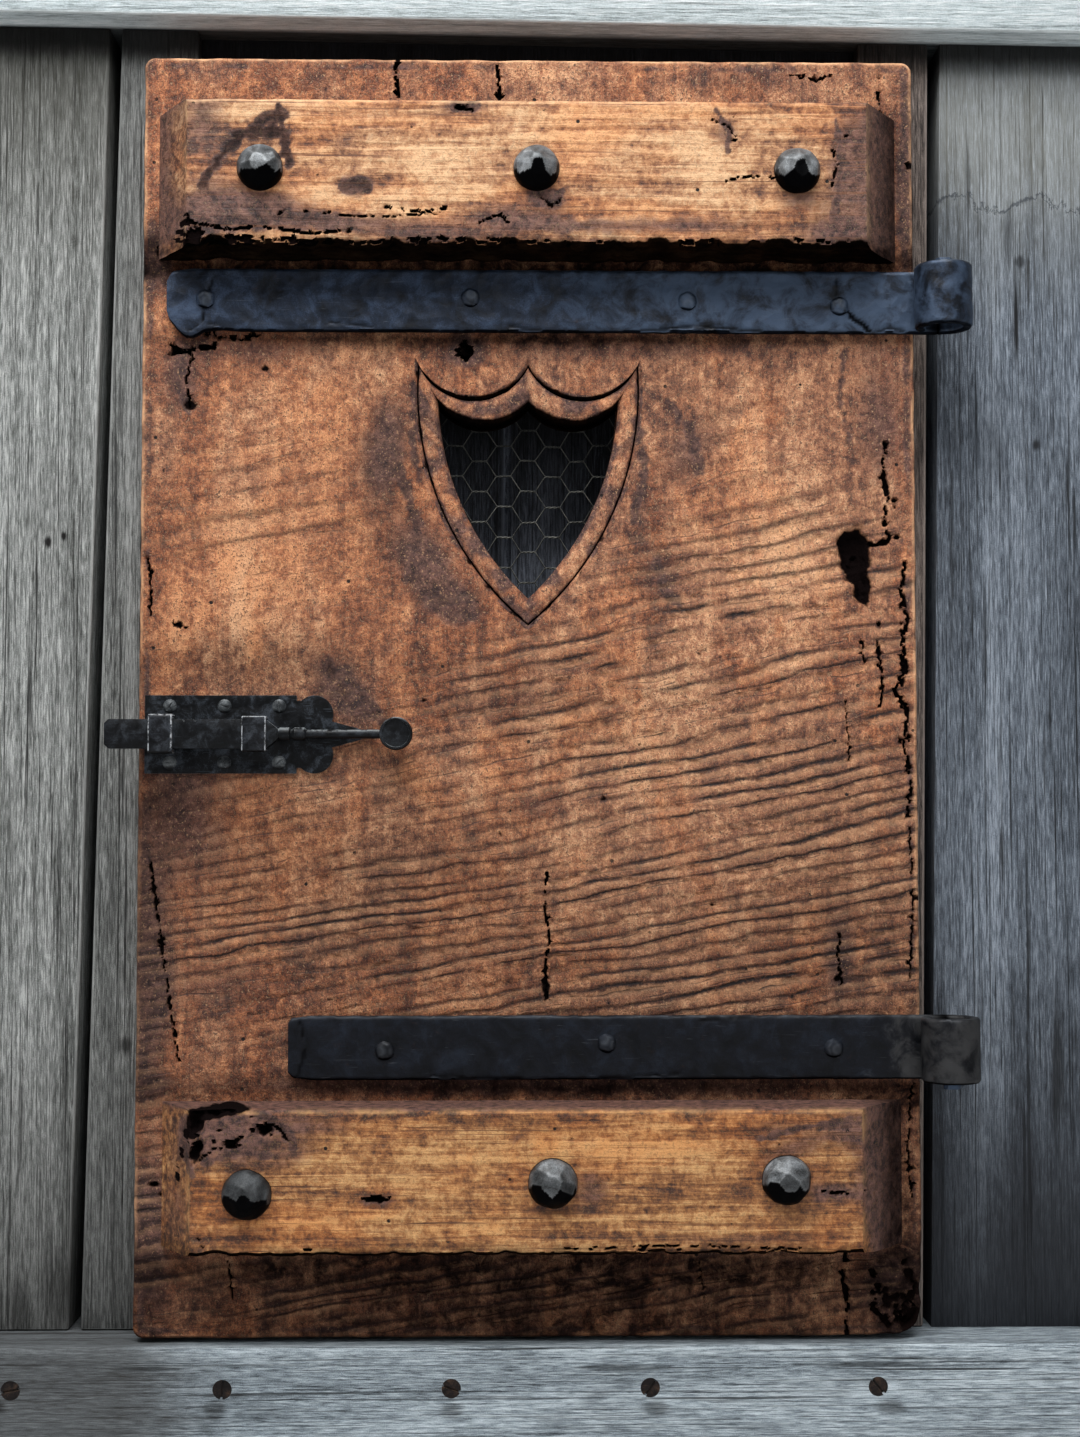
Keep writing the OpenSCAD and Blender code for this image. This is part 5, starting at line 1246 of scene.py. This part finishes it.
def build_studs():
    """The six heads, each with a short root sunk in its batten."""
    for k, name in enumerate((
        "stud_upper_left", "stud_upper_middle", "stud_upper_right",
        "stud_lower_left", "stud_lower_middle", "stud_lower_right",
    )):
        low, high = (np.array(p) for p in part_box(name))
        radius = (high[0] - low[0]) / 2
        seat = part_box("upper_batten" if k < 3 else "lower_batten")[0][1]
        centre = np.array([(low[0] + high[0]) / 2, seat, (low[2] + high[2]) / 2])
        points, worn, dark = facet_dome(
            centre, radius * 0.99, seat - low[1], STUD_FACETS, STUD_SEED - k, STUD_RINGS, STUD_SPOKES, 0.4 * MM
        )
        points = np.concatenate([points, points[-STUD_SPOKES:] + [0, STUD_ROOT, 0]])
        worn = np.concatenate([worn * 0.25, np.zeros(STUD_SPOKES)])
        dark = np.concatenate([dark, np.ones(STUD_SPOKES)])
        # Painted shade at the seat on the batten and on facets that look down; the lower left head is darker all over
        shade = np.maximum(ease(points[:, 1], seat - 2.5 * MM, seat), dark)
        shade = np.maximum(shade, 0.6 if name == "stud_lower_left" else 0.0)
        make("head_" + name, points, ring_faces(STUD_RINGS + 1, STUD_SPOKES), STUD_IRON, "leaf", (name,),
             {"worn": worn, "pits_and_shade": shade}, sharp=24)


def build_nails(name, material, seed):
    """Nail heads of one strap, placed where the CAD has them."""
    low = np.array(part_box(name)[0])
    front = np.array([v.co for v in NODES[name].data.vertices])
    front = front[front[:, 1] < low[1] + 1.2 * MM]
    front = front[np.argsort(front[:, 0])]
    groups = np.split(front, np.nonzero(np.diff(front[:, 0]) > NAIL_GAP)[0] + 1)
    parts, worn = [], []
    for k, group in enumerate(groups):
        middle = (group.min(0) + group.max(0)) / 2
        middle[1] = low[1] + NAIL_SEAT
        head, edge_rub_and_highlight, _ = facet_dome(middle, NAIL_R, NAIL_H, NAIL_FACETS, seed + k, NAIL_RINGS, NAIL_SPOKES, 0.3 * MM)
        parts.append((head, ring_faces(NAIL_RINGS, NAIL_SPOKES)))
        worn.append(edge_rub_and_highlight * 0.5)
    points, faces = join(parts)
    paint = {"worn": np.concatenate(worn)}
    make("heads_" + name, points, faces, material, "leaf", (name,), paint, sharp=30)


# Strap ends: along from the end and across, in strap heights, top edge and lower edge
RAGGED_TOP = [(0.0, 0.80), (0.03, 0.88), (0.1, 0.96), (0.42, 1.0), (9, 1.0)]
RAGGED_LOW = [
    (0.0, 0.30), (0.02, 0.20), (0.16, 0.02), (0.3, -0.11), (0.46, -0.09), (0.6, 0.0), (0.9, 0.02), (1.2, 0.0),
]
SQUARE_TOP = [(0.0, 0.90), (0.05, 0.97), (0.3, 1.0), (9, 1.0)]
SQUARE_LOW = [(0.0, 0.12), (0.08, 0.03), (0.4, 0.0), (9, 0.0)]
# Forge laps, folds and scratches, in pixels of the photograph: half width, strength, corners
UPPER_FOLDS = [
    (2.2, 0.6, [(838, 264), (836, 300)]), (4, 1.0, [(838, 304), (852, 316), (872, 332)]),
    (3, 0.6, [(872, 332), (890, 328), (905, 331)]), (1.6, 0.3, [(783, 290), (788, 304), (791, 320)]),
    (3.5, 0.7, [(214, 276), (206, 298), (202, 322)]), (3, 0.5, [(188, 330), (206, 322), (222, 326)]),
    (3, 0.6, [(640, 330), (700, 326), (760, 331)]), (3, 0.5, [(510, 326), (540, 330)]),
    (2.5, 0.5, [(330, 322), (372, 326)]),
]
LOWER_FOLDS = [
    (3, 0.6, [(300, 1020), (305, 1048), (298, 1076)]), (3, 0.5, [(430, 1076), (520, 1079)]),
    (3, 0.5, [(700, 1020), (760, 1017)]), (2.5, 0.5, [(600, 1078), (680, 1074)]),
]
STRAP_W, STRAP_T, EYE_R = 38 * MM, 6 * MM, 17.5 * MM
# Steps along the strap and round its eye, whose lip ends at this angle; points across each side
STRAP_STEP, EYE_STEPS, LIP_ANGLE, ACROSS = 1.7 * MM, 96, -217, 30
# Radius of the strap's rounded edges
STRAP_SOFT = 1.1 * MM


def build_strap(name, material, tops, lows, folds, seed):
    """A strap iron swept from its ragged end to the lip of its rolled eye."""
    low, high = (np.array(p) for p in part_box(name))
    bottom = high[2] - STRAP_W
    half = STRAP_T / 2
    axis = np.array([high[0] - EYE_R, LEAF_FACE - EYE_R])
    middle_r = EYE_R - half
    run = np.arange(low[0], axis[0], STRAP_STEP)
    stations = [((x, LEAF_FACE - half), (0.0, -1.0)) for x in run]
    for a in np.radians(np.linspace(90, LIP_ANGLE, EYE_STEPS)):
        n = (math.cos(a), math.sin(a))
        stations.append(((axis[0] + middle_r * n[0], axis[1] + middle_r * n[1]), (-n[0], -n[1])))
    across = np.linspace(0, 1, ACROSS)
    points, worn = [], []
    for k, (mid, out) in enumerate(stations):
        straight = k < len(run)
        s = (mid[0] - low[0]) / STRAP_W if straight else 5.0
        top = bottom + STRAP_W * np.interp(s, *zip(*tops))
        base = bottom + STRAP_W * np.interp(s, *zip(*lows))
        wave = 0.5 * MM * noise(np.array([k * 0.13]), np.array([seed * 1.0]), seed)[0]
        top, base = top - abs(wave), base + abs(wave) * 0.6
        z = base + (top - base) * across
        room = np.minimum(z - base, top - z)
        bend = np.clip(STRAP_SOFT - room, 0, STRAP_SOFT)
        curve = half - (STRAP_SOFT - np.sqrt(np.clip(STRAP_SOFT**2 - bend**2, 0, None)))
        if not straight:
            curve = -curve
        first = np.stack([mid[0] + out[0] * curve, mid[1] + out[1] * curve, z], 1)
        second = np.stack([mid[0] - out[0] * curve, mid[1] - out[1] * curve, z], 1)[::-1]
        points.append(np.concatenate([first, second]))
        # Rubbed edges, the upper one more: wear and a painted highlight on the top edge
        edge_rub_and_highlight = np.exp(-room / (0.9 * MM)) * np.where(z - base > top - z, 1.0, 0.25)
        worn.append(np.concatenate([edge_rub_and_highlight, np.zeros(ACROSS)]))
    flat = np.concatenate(points)
    px, py = seen(flat)
    ring = 2 * ACROSS
    on_face = np.zeros(len(flat))
    on_face[:len(run) * ring] = np.tile(np.repeat([1.0, 0.0], ACROSS), len(run))
    fold = strokes(px + 1.5 * noise(px / 7, py / 7, seed + 3), py, folds) * on_face
    # Painted shade in the valley where the strap turns up into its eye
    valley = np.repeat(np.exp(-(((np.arange(len(stations)) - len(run) + 1) / 4.0) ** 2)), ring)
    dent = 0.26 * MM * (1 + fbm(px / 24, py / 24, seed + 5, 3)) + 1.3 * MM * fold
    flat[:, 1] += dent * on_face
    # The same small dents on the rolled eye, towards its axis
    roll = np.arange(len(flat)) >= len(run) * ring
    d = flat[roll][:, :2] - axis
    r = np.hypot(d[:, 0], d[:, 1])
    dent = 0.25 * MM * (1 + noise(flat[roll][:, 2] * 160, np.arctan2(d[:, 1], d[:, 0]) * 2.2, seed + 9))
    push = np.where(r > middle_r, dent, 0)
    flat[roll, :2] -= d / r[:, None] * push[:, None]
    tip = [[i, i + 1, ring - 2 - i, ring - 1 - i] for i in range(ACROSS - 1)]
    last = len(flat) - ring
    faces = ring_faces(len(stations), ring) + tip + [[last + i for i in f][::-1] for f in tip]
    worn = np.concatenate(worn) * ease(noise(px / 30, py / 30, seed + 11), -0.4, 0.4) * 0.55
    paint = {"worn": worn, "pits_and_shade": np.clip(fold * 0.95 + valley * 0.85, 0, 1)}
    make("forged_" + name, flat, faces, material, "leaf", (name,), paint, sharp=50)


# Wire netting behind the shield


PITCH_X, CELL, TWIST = 15 * MM, 19 * MM, 9 * MM
WIRE_R, COIL_R, WIRE_SIDES = 0.36 * MM, 0.4 * MM, 6


def tube(path, r, sides):
    """A round bar along a path that runs mainly sideways."""
    ahead = np.gradient(path, axis=0)
    ahead /= np.linalg.norm(ahead, axis=1)[:, None]
    first = np.cross(ahead, [0.0, 1.0, 0.0])
    first /= np.linalg.norm(first, axis=1)[:, None]
    second = np.cross(ahead, first)
    rows = []
    for a in np.linspace(0, 2 * np.pi, sides, endpoint=False):
        rows.append(path + r * (math.cos(a) * first + math.sin(a) * second))
    points = np.stack(rows, 1).reshape(-1, 3)
    return points, ring_faces(len(path), sides)


def build_netting():
    """Hexagonal netting: wires twisted in pairs along each short side, all running sideways."""
    low, high = (np.array(p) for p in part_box("wire_mesh"))
    centre = (low + high) / 2
    cols, rows = round((high[0] - low[0]) / 2 / PITCH_X - 0.6), round((high[2] - low[2]) / 2 / CELL - 0.35)
    reach = (high[2] - low[2]) / 2 - 1.2 * MM
    parts = []
    for level in range(-2 * rows - 1, 2 * rows + 1):
        # A wire zigzags between two heights of twists and turns round its partner in each
        if max(abs(level), abs(level + 1)) * CELL / 2 > reach:
            continue
        path = []
        for i in range(-cols, cols + 1):
            upper = (level % 2 == 0) == (i % 2 == 0)
            z = centre[2] + (level + upper) * CELL / 2
            for t in np.linspace(0, 1, 13):
                a = 3 * math.pi * t + math.pi * upper
                x = centre[0] + i * PITCH_X + (t - 0.5) * TWIST
                bent = noise(np.array([x * 40, x * 40 + 7]), np.array([z * 40, z * 40 + 3]), 151) * 0.8 * MM
                path.append((x + bent[0], centre[1] + COIL_R * math.sin(a), z + COIL_R * math.cos(a) + bent[1]))
        parts.append(tube(np.array(path), WIRE_R, WIRE_SIDES))
    points, faces = join(parts)
    points[:, 0] = np.clip(points[:, 0], low[0], high[0])
    points[:, 1] = np.clip(points[:, 1], low[1] - 0.1 * MM, high[1] + 0.1 * MM)
    # The reveal of the shield shades the netting's top
    shade = 0.85 * ease(points[:, 2], 0.585, 0.622)
    make("netting", points, faces, WIRE_STEEL, "leaf", ("wire_mesh",), {"pits_and_shade": shade}, sharp=60)


build_leaf()
build_batten(
    "upper_batten", (TOP_STAINS, TOP_PALES, TOP_CRACKS, TOP_SMEARS, TOP_TEARS, TOP_HOLES),
    (21.5 * MM, 23 * MM), (0.75, 1.2), AMBER, 4 * MM, 5 * MM,
)
build_batten(
    "lower_batten", (LOW_STAINS, LOW_PALES, LOW_CRACKS, LOW_SMEARS, LOW_TEARS, LOW_HOLES),
    (21.5 * MM, 29 * MM), (0.2, 1.6), GOLD, 2 * MM, 12 * MM,
)
build_studs()
build_nails("upper_strap_nails", IRON, 300)
build_nails("lower_strap_nails", SHADED_IRON, 320)
build_strap("upper_strap", IRON, RAGGED_TOP, RAGGED_LOW, UPPER_FOLDS, 401)
build_strap("lower_strap", SHADED_IRON, SQUARE_TOP, SQUARE_LOW, LOWER_FOLDS, 431)
build_netting()

# CAD nodes whose edges are only eased, with the width of that in millimetres
for name, material, slot_name, width in (
    ("head_rail", HEAD_PALE, "pale_weathered_wood", 1.5), ("sill_rail", SILL_PALE, "pale_weathered_wood", 1.0),
    ("left_post", LEFT_GREY, "grey_weathered_wood", 1.5), ("right_post", RIGHT_GREY, "grey_weathered_wood", 1.5),
    ("left_stop", STOP_GREY, "grey_weathered_wood", 1.5), ("right_stop", STRIP_GREY, "grey_weathered_wood", 1.5),
    ("head_stop", SHADE_WOOD, "dark_weathered_wood", 1.5),
    ("left_backing_board", SHADE_WOOD, "dark_weathered_wood", 1.0),
    ("right_backing_board", SHADE_WOOD, "dark_weathered_wood", 1.0),
    ("upper_pintle", IRON, "dark_iron", 0.6), ("lower_pintle", IRON, "dark_iron", 0.6),
    ("sill_screws", RUSTY_STEEL, "dull_steel", 0.25),
    ("bolt_plate", PLATE_STEEL, "galvanised_steel", 0.7), ("left_bolt_guide", GUIDE_STEEL, "galvanised_steel", 1.0),
    ("right_bolt_guide", GUIDE_STEEL, "galvanised_steel", 0.8),
    ("bolt_plate_screws", SCREW_STEEL, "dull_steel", 0.3), ("bolt_bar", BAR_STEEL, "galvanised_steel", 0.8),
    ("mesh_staples", SCREW_STEEL, "dull_steel", 0.2),
):
    dress(name, material, width * MM)


# Floor, light and camera

FLOOR = 6.0
floor_mesh = bpy.data.meshes.new("floor")
corners = [(-FLOOR, -FLOOR), (FLOOR, -FLOOR), (FLOOR, FLOOR), (-FLOOR, FLOOR)]
floor_mesh.from_pydata([(x, y, -1 * MM) for x, y in corners], [], [(0, 1, 2, 3)])
floor = bpy.data.objects.new("floor", floor_mesh)
bpy.context.scene.collection.objects.link(floor)
pale = Graph("floor_pale")
cloudy = pale.noise((2, 2, 2), 2, 0.5)
pale.colour = pale.mix(cloudy, (0.60, 0.60, 0.60, 1), (0.64, 0.64, 0.64, 1))
floor_mesh.materials.append(pale.finish(0.85, cloudy, 0.1 * MM))


LIGHT_AIM = Vector((0, 0, 0.45))


def area_light(name, place, size, watts):
    data = bpy.data.lights.new(name, "AREA")
    data.shape = "RECTANGLE"
    data.size, data.size_y = size
    data.energy = watts
    lamp = bpy.data.objects.new(name, data)
    bpy.context.scene.collection.objects.link(lamp)
    lamp.location = place
    lamp.rotation_euler = (LIGHT_AIM - Vector(place)).to_track_quat("-Z", "Y").to_euler()


area_light("sky_light", (-0.35, -1.15, 2.4), (2.0, 1.2), 80)
area_light("fill_light", (0.9, -2.6, 0.9), (2.0, 2.0), 9)
area_light("back_light", (0.3, 2.6, 1.8), (2.0, 2.0), 50)

world = bpy.data.worlds.new("studio")
world.use_nodes = True
background = world.node_tree.nodes["Background"]
background.inputs["Color"].default_value = (0.95, 0.97, 1.0, 1)
background.inputs["Strength"].default_value = 0.20
bpy.context.scene.world = world

camera = bpy.data.objects.new("camera", bpy.data.cameras.new("camera"))
bpy.context.scene.collection.objects.link(camera)
camera.data.lens, camera.data.sensor_width = LENS, SENSOR
camera.location = EYE.tolist()
camera.rotation_euler = (math.radians(90) + PITCH, 0, -YAW)
bpy.context.scene.camera = camera
bpy.context.scene.view_settings.view_transform = "Standard"
